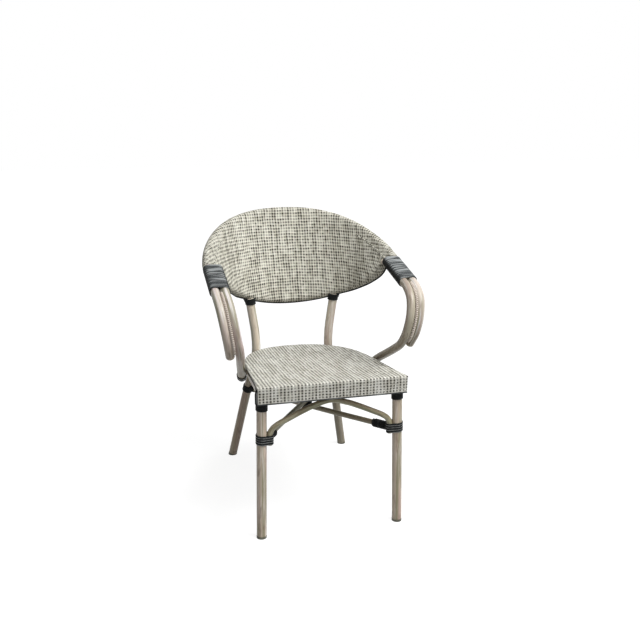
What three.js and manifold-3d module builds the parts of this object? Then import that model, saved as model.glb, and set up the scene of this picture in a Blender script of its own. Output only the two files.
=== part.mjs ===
// Bistro armchair: painted aluminium tubes made to look like bamboo, black wound cord at
// the joints, and a woven cloth seat and back.
// Millimetres, +Z up, X to the right seen from the front, the front faces -Y.
// Left and right are as seen from the front.
import * as THREE from "three";
import { mergeVertices } from "three/addons/utils/BufferGeometryUtils.js";
import Module from "manifold-3d";

const wasm = await Module();
wasm.setup();

// Tubes and the gap kept between pieces that touch
const frontLegDiameter = 28;
const rearLegDiameter = 28;
const armDiameter = 25;
const backRailDiameter = 22;
const seatRailDiameter = 22;
const braceDiameter = 16;
const frameWall = 1.8;
const braceWall = 1.4;
const touchGap = 0.3;
const straightStep = 60;

// Legs, from the floor up
const frontFootInset = 9;
const frontLegTopInset = 19;
const frontLegSetBack = 10;
const rearFootInset = 12;
const rearFootReach = 569;
const postSetBack = 2;
const postTopDrop = 7;
const glideHeight = 6;
const glideRim = 0.6;
const glideStem = 14;

// Seat
const seatHeight = 455;
const seatWidth = 420;
const seatDepth = 537;
const seatFall = 54;
const seatOverhang = 26;
const seatSag = 5;
const clothThickness = 1.4;
const clothSlack = 1.3;
const coverEndFlare = 1.5;
const clothRollRadius = 3.4;
const panelFrameWidth = 18;
const panelFrameThickness = 4;
const railProud = 0.6;
const apronDrop = 50;
const apronReturn = 12;
const apronInset = 2;
const frontRailWall = 1.6;
const frontRailCapThickness = 3;
const frontRailCapStem = 10;
const pipingDiameter = 3.2;
const screwDiameter = 5;
const screwHeadDiameter = 9;
const screwHeadHeight = 3;
const screwHoleSlack = 0.4;

// Arms
const armOutset = 48.5;
const armHeight = 672;
const armFrontReach = 74;
const armWrapStart = 164;
const armWrapLength = 157;
const armRiseDegrees = 13.4;
const armTubeSpacing = 27.5;
const armFootReach = 262;
const armFootLength = 49;
const armLead = 20;
const armFootCapLength = 12;
const armFootCapWall = 1.8;
const armEndDome = 4;
const armEndStem = 6;
const armBeadDiameter = 6;

// Back
const backCrestReach = 618;
const backCrestHeight = 828.5;
const backRailReach = 530;
const backRailHeight = 556;
const backRailEndDrop = 6;
const backRailEndGap = 1;
const backRailBare = 16;
const backPipingDegrees = 48;
const backCoverStart = 3;

// Arch and crossed braces under the seat
const archCrestHeight = 392;
const archFootHeight = 277;
const archBendHeight = 312;
const braceFrontHeight = 288;
const braceRearHeight = 262;
const braceFrontOff = 4;
const lashingDiameter = 34;
const lashingOverlap = 3;

// Wound cord
const cordWidth = 6.6;
const armCordWidth = 9.2;
const cordThickness = 2.4;
const cordGap = 0.6;
const collarThickness = 1.8;
const legBindingHeight = 293;
const legBindingTurns = 4;
const braceWrapTurns = 6;
const maxTurns = 24;
const frontCollarHeight = 20;
const rearCollarHeight = 26;
const postCollarHeight = 22;
const postCollarFlare = 5;

// Edge of the seat from its front right corner to the middle of the rear, as shares of
// half the width and of the depth
const seatEdgeShares = [
  [1, 0], [0.974, 0.13], [0.956, 0.27], [0.936, 0.42], [0.911, 0.56], [0.872, 0.67],
  [0.8, 0.77], [0.69, 0.855], [0.54, 0.925], [0.365, 0.972], [0.18, 0.995], [0, 1],
];
// Curl of the arm from the seat rail up to the wound stretch, as shares of the distance
// from the foot outwards, forwards and upwards
const armCurlShares = [
  [0.13, 0.21, 0.1], [0.34, 0.58, 0.24], [0.5, 0.86, 0.385], [0.64, 0.98, 0.53],
  [0.8, 1, 0.715], [0.93, 0.89, 0.885],
];
const hoopStartRow = 2;
// Top of the back from behind the wound stretch to the crest, as shares of the half
// width, of the way back and of the rise
const hoopShares = [
  [0.97, 0.2, 0.19], [0.91, 0.4, 0.37], [0.828, 0.57, 0.54], [0.714, 0.725, 0.7],
  [0.57, 0.86, 0.83], [0.4, 0.948, 0.925], [0.213, 0.99, 0.983],
];
// Lower rail of the back from its end to its middle, as shares of the half width, of
// the way back and of the drop
const backRailShares = [
  [0.955, 0.06, 0.17], [0.87, 0.2, 0.36], [0.79, 0.37, 0.52], [0.72, 0.55, 0.65],
  [0.6, 0.7, 0.76], [0.43, 0.84, 0.875], [0.23, 0.955, 0.965],
];
// Rear leg below and above the seat rail, as shares of the way out, back and along
const rearLegShares = [[0.1, 0.1, 0.15], [0.38, 0.35, 0.38], [0.66, 0.65, 0.66]];
const postShares = [[0.1, 0.1, 0.32], [0.38, 0.35, 0.55]];
// Arch from its bend to its crest, as shares of the half span and of the rise
const archShares = [
  [0.965, 0.18], [0.885, 0.335], [0.69, 0.545], [0.45, 0.765], [0.27, 0.89],
];
const rearLegPlaceShare = 0.502;
const postPlaceShare = 0.669;
const railEndOverrunShare = 0.1;
const innerRingShare = 0.45;
const sagAtRingShare = 0.8;
const screwPlaceShares = [0.24, 0.72];
const frontRailCornerShare = 0.12;

// Mesh detail: sides and steps, none of them lengths
const tubeSides = 10;
const boreSides = 4;
const smallSides = 8;
const loopSteps = 12;
const braceLoopSteps = 8;
const cordSides = 5;
const half = 0.5;
const bendStepDegrees = 18;
const shareStep = 0.001;
const edgeSteps = 28;
const seatRailSteps = 24;
const armSteps = 15;
const outerArmSteps = 12;
const coverSteps = 24;
const legSteps = 11;
const archSteps = 20;
const braceSteps = 6;
const beadSteps = 9;
const flatShare = Math.cos(Math.PI / tubeSides);

const paint = new THREE.MeshStandardMaterial({ color: 0x9d9185, roughness: 0.45, metalness: 0.1 });
const cord = new THREE.MeshStandardMaterial({ color: 0x25282b, roughness: 0.5, metalness: 0 });
const cloth = new THREE.MeshStandardMaterial({ color: 0xc4bfb2, roughness: 0.85, metalness: 0 });
const piping = new THREE.MeshStandardMaterial({ color: 0x2b2a28, roughness: 0.7, metalness: 0 });
const plastic = new THREE.MeshStandardMaterial({ color: 0x1d1d1e, roughness: 0.6, metalness: 0 });
const plainMetal = new THREE.MeshStandardMaterial({ color: 0x8f9092, roughness: 0.4, metalness: 0.8 });

const chair = new THREE.Group();
const alongX = new THREE.Vector3(1, 0, 0);
const alongZ = new THREE.Vector3(0, 0, 1);

// Points, curves and closed solids
function at(x, y, z) {
  return new THREE.Vector3(x, y, z);
}

function mirrorPoint(point) {
  return at(-point.x, point.y, point.z);
}

// A smooth curve whose steps are closer together where it bends
class SteppedCurve extends THREE.CatmullRomCurve3 {
  constructor(points) {
    super(points, false, "centripetal");
    this.arcLengthDivisions = 800;
    this.stations = [0, 1];
  }

  // Cuts the curve at marks, shares of its length, with a count of steps between them
  step(marks, counts) {
    const samples = 200;
    const stations = [];
    counts.forEach((count, part) => {
      const shares = [];
      const weights = [0];
      for (let i = 0; i <= samples; i += 1) {
        shares.push(THREE.MathUtils.lerp(marks[part], marks[part + 1], i / samples));
      }
      for (let i = 1; i <= samples; i += 1) {
        const run = this.getPointAt(shares[i]).distanceTo(this.getPointAt(shares[i - 1]));
        const bend = this.getTangentAt(shares[i]).angleTo(this.getTangentAt(shares[i - 1]));
        const turned = THREE.MathUtils.radToDeg(bend) / bendStepDegrees;
        weights.push(weights[i - 1] + run / straightStep + turned);
      }
      for (let k = 0; k < count; k += 1) {
        const wanted = (k / count) * weights[samples];
        const over = weights.findIndex((weight) => weight > wanted);
        const past = (wanted - weights[over - 1]) / (weights[over] - weights[over - 1]);
        stations.push(THREE.MathUtils.lerp(shares[over - 1], shares[over], past));
      }
    });
    this.stations = [...stations, marks[marks.length - 1]];
    return this;
  }

  getUtoTmapping(share, distance) {
    const last = this.stations.length - 1;
    const low = Math.min(Math.floor(share * last), last - 1);
    return super.getUtoTmapping(
      THREE.MathUtils.lerp(this.stations[low], this.stations[low + 1], share * last - low),
      distance,
    );
  }
}

// The points of the right half, the middle and the left half of a symmetric curve
function bothSides(points, middle) {
  return [...points, middle, ...points.slice().reverse().map(mirrorPoint)];
}

function smooth(points, steps) {
  return new SteppedCurve(points).step([0, 1], [steps]);
}

function mirroredCurve(curve) {
  const copy = new SteppedCurve(curve.points.map(mirrorPoint));
  copy.stations = curve.stations;
  return copy;
}

// Share at which a test of the curve's point first holds
function shareWhere(curve, test) {
  let share = 0;
  while (!test(curve.getPointAt(share))) {
    share += shareStep;
  }
  return share;
}

// Rows of shares carried from one place to another
function between(start, end, rows) {
  return rows.map(([across, back, up]) => at(
    THREE.MathUtils.lerp(start.x, end.x, across),
    THREE.MathUtils.lerp(start.y, end.y, back),
    THREE.MathUtils.lerp(start.z, end.z, up),
  ));
}

function polygon(radius, sides) {
  const points = [];
  for (let side = 0; side < sides; side += 1) {
    const angle = (side / sides) * 2 * Math.PI;
    points.push(new THREE.Vector2(radius * Math.cos(angle), radius * Math.sin(angle)));
  }
  return points;
}

// Distance between the middles of two tubes that lie side by side
function besideEachOther(first, second) {
  return (first + second) * flatShare + 2 * touchGap;
}

// Radius of a polygon whose flats clear a round of the given radius
function clearing(radius, sides) {
  return radius / Math.cos(Math.PI / sides);
}

// One closed body with shared vertices and no collapsed triangles
function solid(geometry) {
  const bare = geometry.clone();
  bare.deleteAttribute("normal");
  bare.deleteAttribute("uv");
  const merged = mergeVertices(bare, 1e-4);
  const index = merged.index.array;
  const kept = [];
  for (let i = 0; i < index.length; i += 3) {
    const [a, b, c] = [index[i], index[i + 1], index[i + 2]];
    if (a !== b && b !== c && c !== a) {
      kept.push(a, b, c);
    }
  }
  merged.setIndex(kept);
  return merged;
}

function fromLists(positions, index) {
  const geometry = new THREE.BufferGeometry();
  geometry.setAttribute("position", new THREE.Float32BufferAttribute(positions, 3));
  geometry.setIndex(index);
  return geometry;
}

function mirrored(geometry) {
  const copy = geometry.clone();
  copy.scale(-1, 1, 1);
  const index = copy.index.array;
  for (let i = 0; i < index.length; i += 3) {
    [index[i], index[i + 1]] = [index[i + 1], index[i]];
  }
  return copy;
}

function toManifold(geometry) {
  const vertProperties = new Float32Array(geometry.attributes.position.array);
  const triVerts = new Uint32Array(geometry.index.array);
  return new wasm.Manifold(new wasm.Mesh({ numProp: 3, vertProperties, triVerts }));
}

function fromManifold(body) {
  const mesh = body.getMesh();
  const stride = mesh.numProp;
  const positions = [];
  for (let i = 0; i < mesh.vertProperties.length; i += stride) {
    positions.push(mesh.vertProperties[i], mesh.vertProperties[i + 1], mesh.vertProperties[i + 2]);
  }
  return fromLists(positions, Array.from(mesh.triVerts));
}

function cut(geometry, tools) {
  const body = tools.reduce((left, tool) => left.subtract(toManifold(tool)), toManifold(geometry));
  return fromManifold(body);
}

// Drops the crumbs that a cut leaves at corners
function largest(geometry) {
  const bodies = toManifold(geometry).decompose();
  bodies.sort((first, second) => second.volume() - first.volume());
  return fromManifold(bodies[0]);
}

function join(first, second) {
  return fromManifold(toManifold(first).add(toManifold(second)));
}

function hollowShape(outer, inner) {
  const shape = new THREE.Shape(outer);
  if (inner) {
    shape.holes.push(new THREE.Path(inner));
  }
  return shape;
}

function tube(curve, diameter, wall, sides = tubeSides, bore = boreSides) {
  const steps = curve.stations ? curve.stations.length - 1 : 1;
  const outer = polygon(diameter * half, sides);
  const inner = wall ? polygon(diameter * half - wall, bore) : null;
  const shape = hollowShape(outer, inner);
  return solid(new THREE.ExtrudeGeometry(shape, { steps, extrudePath: curve, bevelEnabled: false }));
}

// A solid bar on the same line as a tube, used to cut what meets that tube
function around(curve, radius) {
  return tube(curve, 2 * clearing(radius, tubeSides), 0);
}

function sleeve(start, end, boreRadius, thickness) {
  const inner = clearing(boreRadius, tubeSides);
  const shape = hollowShape(polygon(inner + thickness, tubeSides), polygon(inner, tubeSides));
  const path = new THREE.LineCurve3(start, end);
  return solid(new THREE.ExtrudeGeometry(shape, { steps: 1, extrudePath: path, bevelEnabled: false }));
}

// A turned piece whose axis starts at a place and follows a direction
function turned(profile, place, direction, segments = tubeSides) {
  const geometry = new THREE.LatheGeometry(profile.map(([r, h]) => new THREE.Vector2(r, h)), segments);
  const turn = new THREE.Quaternion().setFromUnitVectors(at(0, 1, 0), direction.clone().normalize());
  geometry.applyQuaternion(turn);
  geometry.translate(place.x, place.y, place.z);
  return solid(geometry);
}

function block(lowX, highX, lowY, highY, lowZ, highZ) {
  const geometry = new THREE.BoxGeometry(highX - lowX, highY - lowY, highZ - lowZ);
  geometry.translate((lowX + highX) * half, (lowY + highY) * half, (lowZ + highZ) * half);
  return solid(geometry);
}

function acrossX(shape, halfLength) {
  const geometry = new THREE.ExtrudeGeometry(shape, { depth: 2 * halfLength, bevelEnabled: false });
  geometry.applyMatrix4(new THREE.Matrix4().makeBasis(at(0, 1, 0), alongZ, alongX));
  geometry.translate(-halfLength, 0, 0);
  return solid(geometry);
}

function add(name, geometry, material) {
  const mesh = new THREE.Mesh(geometry, material.clone());
  mesh.name = name;
  chair.add(mesh);
}

function addPair(name, geometry, material) {
  add(`${name}_right`, geometry, material);
  add(`${name}_left`, mirrored(geometry), material);
}

// Seat edge and its height
const halfSeat = seatWidth * half;
const rightEdge = seatEdgeShares.map(([across, back]) => at(
  across * halfSeat,
  back * seatDepth - seatOverhang,
  0,
));
const seatEdge = smooth(bothSides(rightEdge.slice(0, -1), rightEdge[rightEdge.length - 1]), edgeSteps);

function seatTop(y) {
  return seatHeight - (seatFall * (y + seatOverhang)) / seatDepth;
}

// A place beside the seat edge, moved inwards and lowered from the seat's top
function beside(share, inset, drop) {
  const point = seatEdge.getPointAt(share);
  const along = seatEdge.getTangentAt(share);
  const x = point.x - along.y * inset;
  const y = point.y + along.x * inset;
  return at(x, y, seatTop(y) - drop);
}

// Shears flat seat pieces so that they follow the fall of the seat
function followSeat(geometry) {
  const place = geometry.attributes.position;
  for (let i = 0; i < place.count; i += 1) {
    place.setZ(i, place.getZ(i) + seatTop(place.getY(i)));
  }
  return geometry;
}

// Front legs
const frontLegRadius = frontLegDiameter * half;
const seatRailRadius = seatRailDiameter * half;
const panelThickness = 2 * clothThickness + 2 * touchGap + panelFrameThickness;
const railDrop = panelThickness + touchGap + seatRailRadius;
const frontLegTopX = halfSeat - frontLegTopInset;
const frontLegTop = at(frontLegTopX, frontLegSetBack, seatTop(frontLegSetBack) - railDrop);
const frontFoot = at(halfSeat - frontFootInset, 0, 0);
const frontLegLine = frontLegTop.clone().sub(frontFoot).normalize();

function onFrontLeg(height) {
  return frontFoot.clone().addScaledVector(frontLegLine, height / frontLegLine.z);
}

const seatFrontY = -seatOverhang;
const apronHalf = halfSeat - apronInset;
const apronFoot = seatHeight - apronDrop;
const frontRailBack = onFrontLeg(frontLegTop.z).y - frontLegRadius - touchGap;

// Front rail: a flat tube behind the apron, with a plastic cap in each end
const frontRailFront = seatFrontY + clothThickness + touchGap;
const frontRailLow = apronFoot + clothThickness + touchGap;
const frontRailHigh = seatTop(frontRailBack) - panelThickness - touchGap;

function frontRailOutline(shrink) {
  const low = frontRailLow + shrink;
  const high = frontRailHigh - shrink;
  const front = frontRailFront + shrink;
  const back = frontRailBack - shrink;
  const corner = (back - front) * frontRailCornerShare;
  return [
    [front + corner, low], [back - corner, low], [back, low + corner], [back, high - corner],
    [back - corner, high], [front + corner, high], [front, high - corner], [front, low + corner],
  ].map(([y, z]) => new THREE.Vector2(y, z));
}

const frontRailHalf = apronHalf - frontRailCapThickness;
const frontRailShape = hollowShape(frontRailOutline(0), frontRailOutline(frontRailWall));
add("front_rail", acrossX(frontRailShape, frontRailHalf), paint);

const capPlate = acrossX(new THREE.Shape(frontRailOutline(0)), (frontRailCapThickness - touchGap) * half);
capPlate.translate(frontRailHalf + touchGap + (frontRailCapThickness - touchGap) * half, 0, 0);
const capStemShape = new THREE.Shape(frontRailOutline(frontRailWall + touchGap));
const capStem = acrossX(capStemShape, frontRailCapStem * half);
capStem.translate(frontRailHalf + touchGap + frontRailCapThickness * half - frontRailCapStem * half, 0, 0);
addPair("front_rail_cap", join(capPlate, capStem), plastic);
const frontRailBar = acrossX(new THREE.Shape(frontRailOutline(-touchGap)), halfSeat + seatRailDiameter);

// Seat rail: one bent tube from one front corner round the rear to the other
const railInset = seatRailRadius - railProud;
const railPoints = [];
for (let row = 0; row <= edgeSteps; row += 1) {
  const point = beside(row / edgeSteps, railInset, railDrop);
  if (point.y > frontRailBack + seatRailRadius) {
    railPoints.push(point);
  }
}
const railStart = railPoints[0].clone();
railStart.x += (railPoints[0].x - railPoints[1].x) * half;
railStart.y = frontRailBack;
railStart.z = seatTop(railStart.y) - railDrop;
const seatRailCurve = smooth([railStart, ...railPoints, mirrorPoint(railStart)], seatRailSteps);

// Screws from under the rail into the panel frame
const screws = screwPlaceShares.map((place) => {
  const reach = place * seatDepth - seatOverhang;
  return beside(shareWhere(seatEdge, (point) => point.y >= reach), railInset, 0);
});
const screwHole = screwDiameter + screwHoleSlack;

function screwCut(place) {
  const low = at(place.x, place.y, place.z - railDrop - seatRailDiameter);
  const high = at(place.x, place.y, place.z - clothThickness - touchGap - clothThickness);
  return tube(new THREE.LineCurve3(low, high), screwHole, 0, smallSides);
}

const screwCuts = [...screws, ...screws.map(mirrorPoint)].map(screwCut);

const seatRailSolid = tube(seatRailCurve, seatRailDiameter, frameWall);
const seatRailBar = around(seatRailCurve, seatRailRadius + touchGap);
add("seat_rail", cut(seatRailSolid, [frontRailBar, ...screwCuts]), paint);

screws.forEach((place, number) => {
  const headTop = place.z - railDrop - seatRailRadius - touchGap;
  const tip = place.z - 2 * clothThickness - touchGap - clothThickness;
  const profile = [
    [0, 0], [screwHeadDiameter * half, 0], [screwHeadDiameter * half, screwHeadHeight],
    [screwDiameter * half - screwHoleSlack, screwHeadHeight],
    [screwDiameter * half - screwHoleSlack, tip - headTop + screwHeadHeight],
    [0, tip - headTop + screwHeadHeight],
  ];
  const foot = at(place.x, place.y, headTop - screwHeadHeight);
  addPair(`seat_screw_${number + 1}`, turned(profile, foot, alongZ, smallSides), plainMetal);
});

// Closed outline of the seat, moved inwards
function seatOutline(inset) {
  const points = [];
  for (let row = 0; row <= edgeSteps; row += 1) {
    const point = beside(row / edgeSteps, inset, 0);
    points.push(new THREE.Vector2(point.x, Math.max(point.y, inset - seatOverhang)));
  }
  return points;
}

// Panel frame: a flat ring that the seat cloth is wrapped round
const panelInset = clothRollRadius;
const panelShape = hollowShape(
  seatOutline(panelInset),
  seatOutline(panelInset + panelFrameWidth).reverse(),
);
const panelTop = clothThickness + touchGap;
const panelGeometry = new THREE.ExtrudeGeometry(panelShape, {
  depth: panelFrameThickness, bevelEnabled: false,
});
panelGeometry.translate(0, 0, -panelTop - panelFrameThickness);
add("seat_panel_frame", cut(followSeat(solid(panelGeometry)), screwCuts), plainMetal);

// Seat cloth: rings of the seat's outline from the middle of the top, over the rolled
// edge, under the panel frame and back inside
function seatCloth() {
  const middle = at(0, seatDepth * half - seatOverhang, 0);
  const corner = clothRollRadius;
  const inner = clothRollRadius - clothThickness;
  const diagonal = Math.SQRT1_2;
  const lip = panelFrameWidth * half;
  const under = panelThickness;
  const rows = [
    { inward: innerRingShare, drop: seatSag * sagAtRingShare },
    { inset: panelFrameWidth + panelInset, drop: 0 },
    { inset: corner, drop: 0 },
    { inset: corner * (1 - diagonal), drop: corner * (1 - diagonal) },
    { inset: 0, drop: corner },
    { inset: 0, drop: under - corner },
    { inset: corner * (1 - diagonal), drop: under - corner * (1 - diagonal) },
    { inset: corner, drop: under },
    { inset: corner + lip, drop: under },
    { inset: corner + lip, drop: under - clothThickness },
    { inset: corner, drop: under - clothThickness },
    { inset: corner - inner * diagonal, drop: under - corner + inner * diagonal },
    { inset: clothThickness, drop: under - corner },
    { inset: clothThickness, drop: corner },
    { inset: corner - inner * diagonal, drop: corner - inner * diagonal },
    { inset: corner, drop: clothThickness },
    { inset: panelFrameWidth + panelInset, drop: clothThickness },
    { inward: innerRingShare, drop: seatSag * sagAtRingShare + clothThickness },
  ];
  const positions = [middle.x, middle.y, -seatSag];
  const count = edgeSteps + 1;
  for (const row of rows) {
    const base = seatOutline(row.inset ?? panelFrameWidth + panelInset);
    for (const point of base) {
      const x = row.inward ? THREE.MathUtils.lerp(point.x, middle.x, row.inward) : point.x;
      const y = row.inward ? THREE.MathUtils.lerp(point.y, middle.y, row.inward) : point.y;
      positions.push(x, y, -row.drop);
    }
  }
  positions.push(middle.x, middle.y, -seatSag - clothThickness);
  const last = rows.length * count + 1;
  const index = [];
  for (let k = 0; k < count; k += 1) {
    const next = (k + 1) % count;
    index.push(0, 1 + k, 1 + next);
    for (let ring = 0; ring < rows.length - 1; ring += 1) {
      const a = 1 + ring * count;
      const b = a + count;
      index.push(a + k, b + k, b + next, a + k, b + next, a + next);
    }
    const end = 1 + (rows.length - 1) * count;
    index.push(end + k, last, end + next);
  }
  return fromLists(positions, index);
}

// Apron: the cloth's front drop with its hem turned back under the front rail
const apronTop = seatHeight - panelThickness * half;
const apronShape = new THREE.Shape([
  [seatFrontY, apronTop], [seatFrontY, apronFoot], [seatFrontY + apronReturn, apronFoot],
  [seatFrontY + apronReturn, apronFoot + clothThickness],
  [seatFrontY + clothThickness, apronFoot + clothThickness],
  [seatFrontY + clothThickness, apronTop],
].map(([y, z]) => new THREE.Vector2(y, z)));
const seatClothSolid = join(followSeat(seatCloth()), acrossX(apronShape, apronHalf));
add("seat_cover", cut(seatClothSolid, screwCuts), cloth);

const pipingRadius = pipingDiameter * half;
const hemEnd = at(apronHalf, seatFrontY + pipingRadius, apronFoot - touchGap - pipingRadius);
const hemLine = new THREE.LineCurve3(hemEnd, mirrorPoint(hemEnd));
add("seat_piping", tube(hemLine, pipingDiameter, 0, smallSides), piping);

// Legs stand in glides that are trimmed flat at the floor
const floorCut = block(-seatWidth, seatWidth, -seatDepth, 2 * seatDepth, -seatHeight, 0);

function glide(foot, direction, legRadius) {
  const bore = (legRadius - frameWall) * Math.cos(Math.PI / boreSides) - touchGap;
  const rim = legRadius + glideRim;
  const rest = foot.clone().addScaledVector(direction, glideHeight / direction.z);
  const profile = [
    [0, -2 * glideHeight], [rim, -2 * glideHeight], [rim, -touchGap],
    [bore, -touchGap], [bore, glideStem], [0, glideStem],
  ];
  return cut(turned(profile, rest, direction), [floorCut]);
}

function legStart(foot, direction) {
  return foot.clone().addScaledVector(direction, glideHeight / direction.z);
}

const frontLegCurve = new THREE.LineCurve3(legStart(frontFoot, frontLegLine), frontLegTop);
const frontLegSolid = tube(frontLegCurve, frontLegDiameter, frameWall);
addPair("front_leg", cut(frontLegSolid, [seatRailBar, frontRailBar]), paint);
addPair("front_glide", glide(frontFoot, frontLegLine, frontLegRadius), plastic);

// Arms: the inner tube curls up from the side of the seat rail to the wound stretch
const armRadius = armDiameter * half;
const armRise = THREE.MathUtils.degToRad(armRiseDegrees);
const armLine = at(0, Math.cos(armRise), Math.sin(armRise));
const wrapFront = at(halfSeat + armOutset, armWrapStart, armHeight);
const wrapRear = wrapFront.clone().addScaledVector(armLine, armWrapLength);

const armFootShare = shareWhere(seatRailCurve, (point) => point.y >= armFootReach);
const railBesideArm = seatRailCurve.getPointAt(armFootShare);
const railLine = seatRailCurve.getTangentAt(armFootShare);
const armCurlRise = armHeight - railBesideArm.z;
const armCurlReach = railBesideArm.y - armFrontReach;
const firstCurl = armCurlShares[0];
const armFootLine = at(
  -firstCurl[0] * (wrapFront.x - railBesideArm.x - seatRailRadius - armRadius),
  firstCurl[1] * armCurlReach,
  -firstCurl[2] * armCurlRise,
).normalize();
const armOff = armFootLine.clone().cross(railLine).normalize();
const armFootOff = besideEachOther(seatRailRadius, armRadius) + 2 * touchGap;
const armFoot = railBesideArm.clone().addScaledVector(armOff, armFootOff);
const armCurl = between(armFoot, at(wrapFront.x, armFrontReach, armHeight), armCurlShares);
const armEnd = armFoot.clone().addScaledVector(armFootLine, armFootLength);
const wrapLead = wrapFront.clone().addScaledVector(armLine, -armLead);
const wrapMiddle = wrapFront.clone().lerp(wrapRear, half);
const armCurve = smooth([armEnd, armFoot, ...armCurl, wrapLead, wrapFront, wrapMiddle, wrapRear], armSteps);
addPair("arm_tube", tube(armCurve, armDiameter, frameWall), paint);

const capBore = clearing(armRadius + touchGap, tubeSides);
const footCapProfile = [
  [0, -armFootCapWall], [capBore + armFootCapWall, -armFootCapWall],
  [capBore + armFootCapWall, armFootCapLength], [capBore, armFootCapLength], [capBore, 0], [0, 0],
];
const footCapPlace = armEnd.clone().addScaledVector(armFootLine, touchGap);
addPair("arm_foot_cap", turned(footCapProfile, footCapPlace, armFootLine.clone().negate()), plastic);

// Hoop: the outer arm tubes and the top of the back are one bent tube
const outward = at(armTubeSpacing, 0, 0);
const hoopCurl = armCurl.slice(hoopStartRow).map((point) => point.clone().add(outward));
const hoopWrap = [wrapLead, wrapFront, wrapMiddle, wrapRear].map((point) => point.clone().add(outward));
const hoopTail = hoopWrap[3].clone().addScaledVector(armLine, armLead);
const hoopCrest = at(0, backCrestReach, backCrestHeight);
const hoopRise = between(
  at(0, hoopTail.y, hoopTail.z),
  at(hoopTail.x, hoopCrest.y, hoopCrest.z),
  hoopShares,
);
const hoopCurve = new SteppedCurve(bothSides([...hoopCurl, ...hoopWrap, hoopTail, ...hoopRise], hoopCrest));
const coverShare = shareWhere(hoopCurve, (point) => point.y >= wrapRear.y + backCoverStart);
hoopCurve.step([0, coverShare, 1 - coverShare, 1], [outerArmSteps, coverSteps, outerArmSteps]);
add("back_hoop", tube(hoopCurve, armDiameter, frameWall), paint);

const boreFit = (armRadius - frameWall) * Math.cos(Math.PI / boreSides) - touchGap;
const endPlugProfile = [
  [0, -armEndStem], [boreFit, -armEndStem], [boreFit, touchGap], [armRadius, touchGap],
  [armRadius * Math.SQRT1_2, armEndDome], [0, armEndDome + touchGap],
];
const hoopEndLine = hoopCurve.getTangentAt(0).negate();
addPair("arm_end_plug", turned(endPlugProfile, hoopCurl[0], hoopEndLine), paint);

// Bead laid in the groove between the two arm tubes
const beadRadius = armBeadDiameter * half;
const beadForward = Math.sqrt((armRadius + beadRadius + 2 * touchGap) ** 2 - (armTubeSpacing * half) ** 2);
const beadPoints = [];
const beadEndShare = shareWhere(
  hoopCurve,
  (point) => point.y >= wrapLead.y && point.z > hoopCurl[0].z + armDiameter,
);
for (let row = 1; row <= beadSteps; row += 1) {
  const share = (beadEndShare * row) / beadSteps;
  const along = hoopCurve.getTangentAt(share);
  const forward = alongX.clone().cross(along).normalize();
  const place = hoopCurve.getPointAt(share).addScaledVector(outward, -half);
  beadPoints.push(place.addScaledVector(forward, beadForward));
}
addPair("arm_bead", tube(smooth(beadPoints, beadSteps), armBeadDiameter, 0, smallSides), paint);

// Lower rail of the back: its ends lie behind the ends of the inner arm tubes
const backRailRadius = backRailDiameter * half;
const backRailEnd = wrapRear.clone().addScaledVector(armLine, backRailRadius + backRailEndGap);
backRailEnd.z -= backRailEndDrop;
const backRailMiddle = at(0, backRailReach, backRailHeight);
const backRailRise = between(
  at(0, backRailEnd.y, backRailEnd.z),
  at(backRailEnd.x, backRailMiddle.y, backRailMiddle.z),
  backRailShares,
);
const backRailCurve = new SteppedCurve(bothSides([backRailEnd, ...backRailRise], backRailMiddle));
const railOpenShare = shareWhere(backRailCurve, (point) => point.distanceTo(backRailEnd) >= backRailBare);
backRailCurve.step([0, railOpenShare, 1 - railOpenShare, 1], [1, coverSteps, 1]);
add("back_rail", tube(backRailCurve, backRailDiameter, frameWall), paint);

// Rear legs: they pass the seat rail and run up to the lower rail of the back
const rearLegRadius = rearLegDiameter * half;
const rearLegShare = shareWhere(
  seatRailCurve,
  (point) => point.y > armFootReach && point.x <= rearLegPlaceShare * halfSeat,
);
const railByLeg = seatRailCurve.getPointAt(rearLegShare);
const railLineByLeg = seatRailCurve.getTangentAt(rearLegShare);
const legOff = at(railLineByLeg.y, -railLineByLeg.x, 0).normalize();
const legWaist = railByLeg.clone().addScaledVector(legOff, besideEachOther(seatRailRadius, rearLegRadius));
legWaist.z = seatTop(legWaist.y);
const rearFoot = at(halfSeat - rearFootInset, rearFootReach, 0);
const lowerLeg = between(legWaist, rearFoot, rearLegShares);
const postShare = shareWhere(backRailCurve, (point) => point.x <= postPlaceShare * halfSeat);
const railOverPost = backRailCurve.getPointAt(postShare);
const postTop = at(railOverPost.x, railOverPost.y + postSetBack, railOverPost.z - postTopDrop);
const postRise = between(legWaist, postTop, postShares);

const rearLegLine = lowerLeg[2].clone().sub(rearFoot).normalize();
const rearLegCurve = smooth(
  [legStart(rearFoot, rearLegLine), ...lowerLeg.slice().reverse(), legWaist, ...postRise, postTop],
  legSteps,
);
addPair("rear_glide", glide(rearFoot, rearLegLine, rearLegRadius), plastic);

// Back cloth: a panel in front, between a sleeve round the hoop and one round the lower rail
const flareRows = 5;
const pipingStartRow = 3;
const panelColumns = 2;
const sleeveSides = 8;
const clothRoom = clothSlack + clothThickness;
const coverSections = [];
for (let row = 0; row <= coverSteps; row += 1) {
  const hoopShare = (row + outerArmSteps) / (coverSteps + 2 * outerArmSteps);
  const railShare = (row + 1) / (coverSteps + 2);
  const high = hoopCurve.getPointAt(hoopShare);
  const low = backRailCurve.getPointAt(railShare);
  const across = high.clone().sub(low);
  coverSections.push({
    high: { centre: high, ...facing(hoopCurve.getTangentAt(hoopShare), across) },
    low: { centre: low, ...facing(backRailCurve.getTangentAt(railShare), across) },
    flare: coverEndFlare * Math.max(0, 1 - Math.min(row, coverSteps - row) / flareRows),
  });
}

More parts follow.
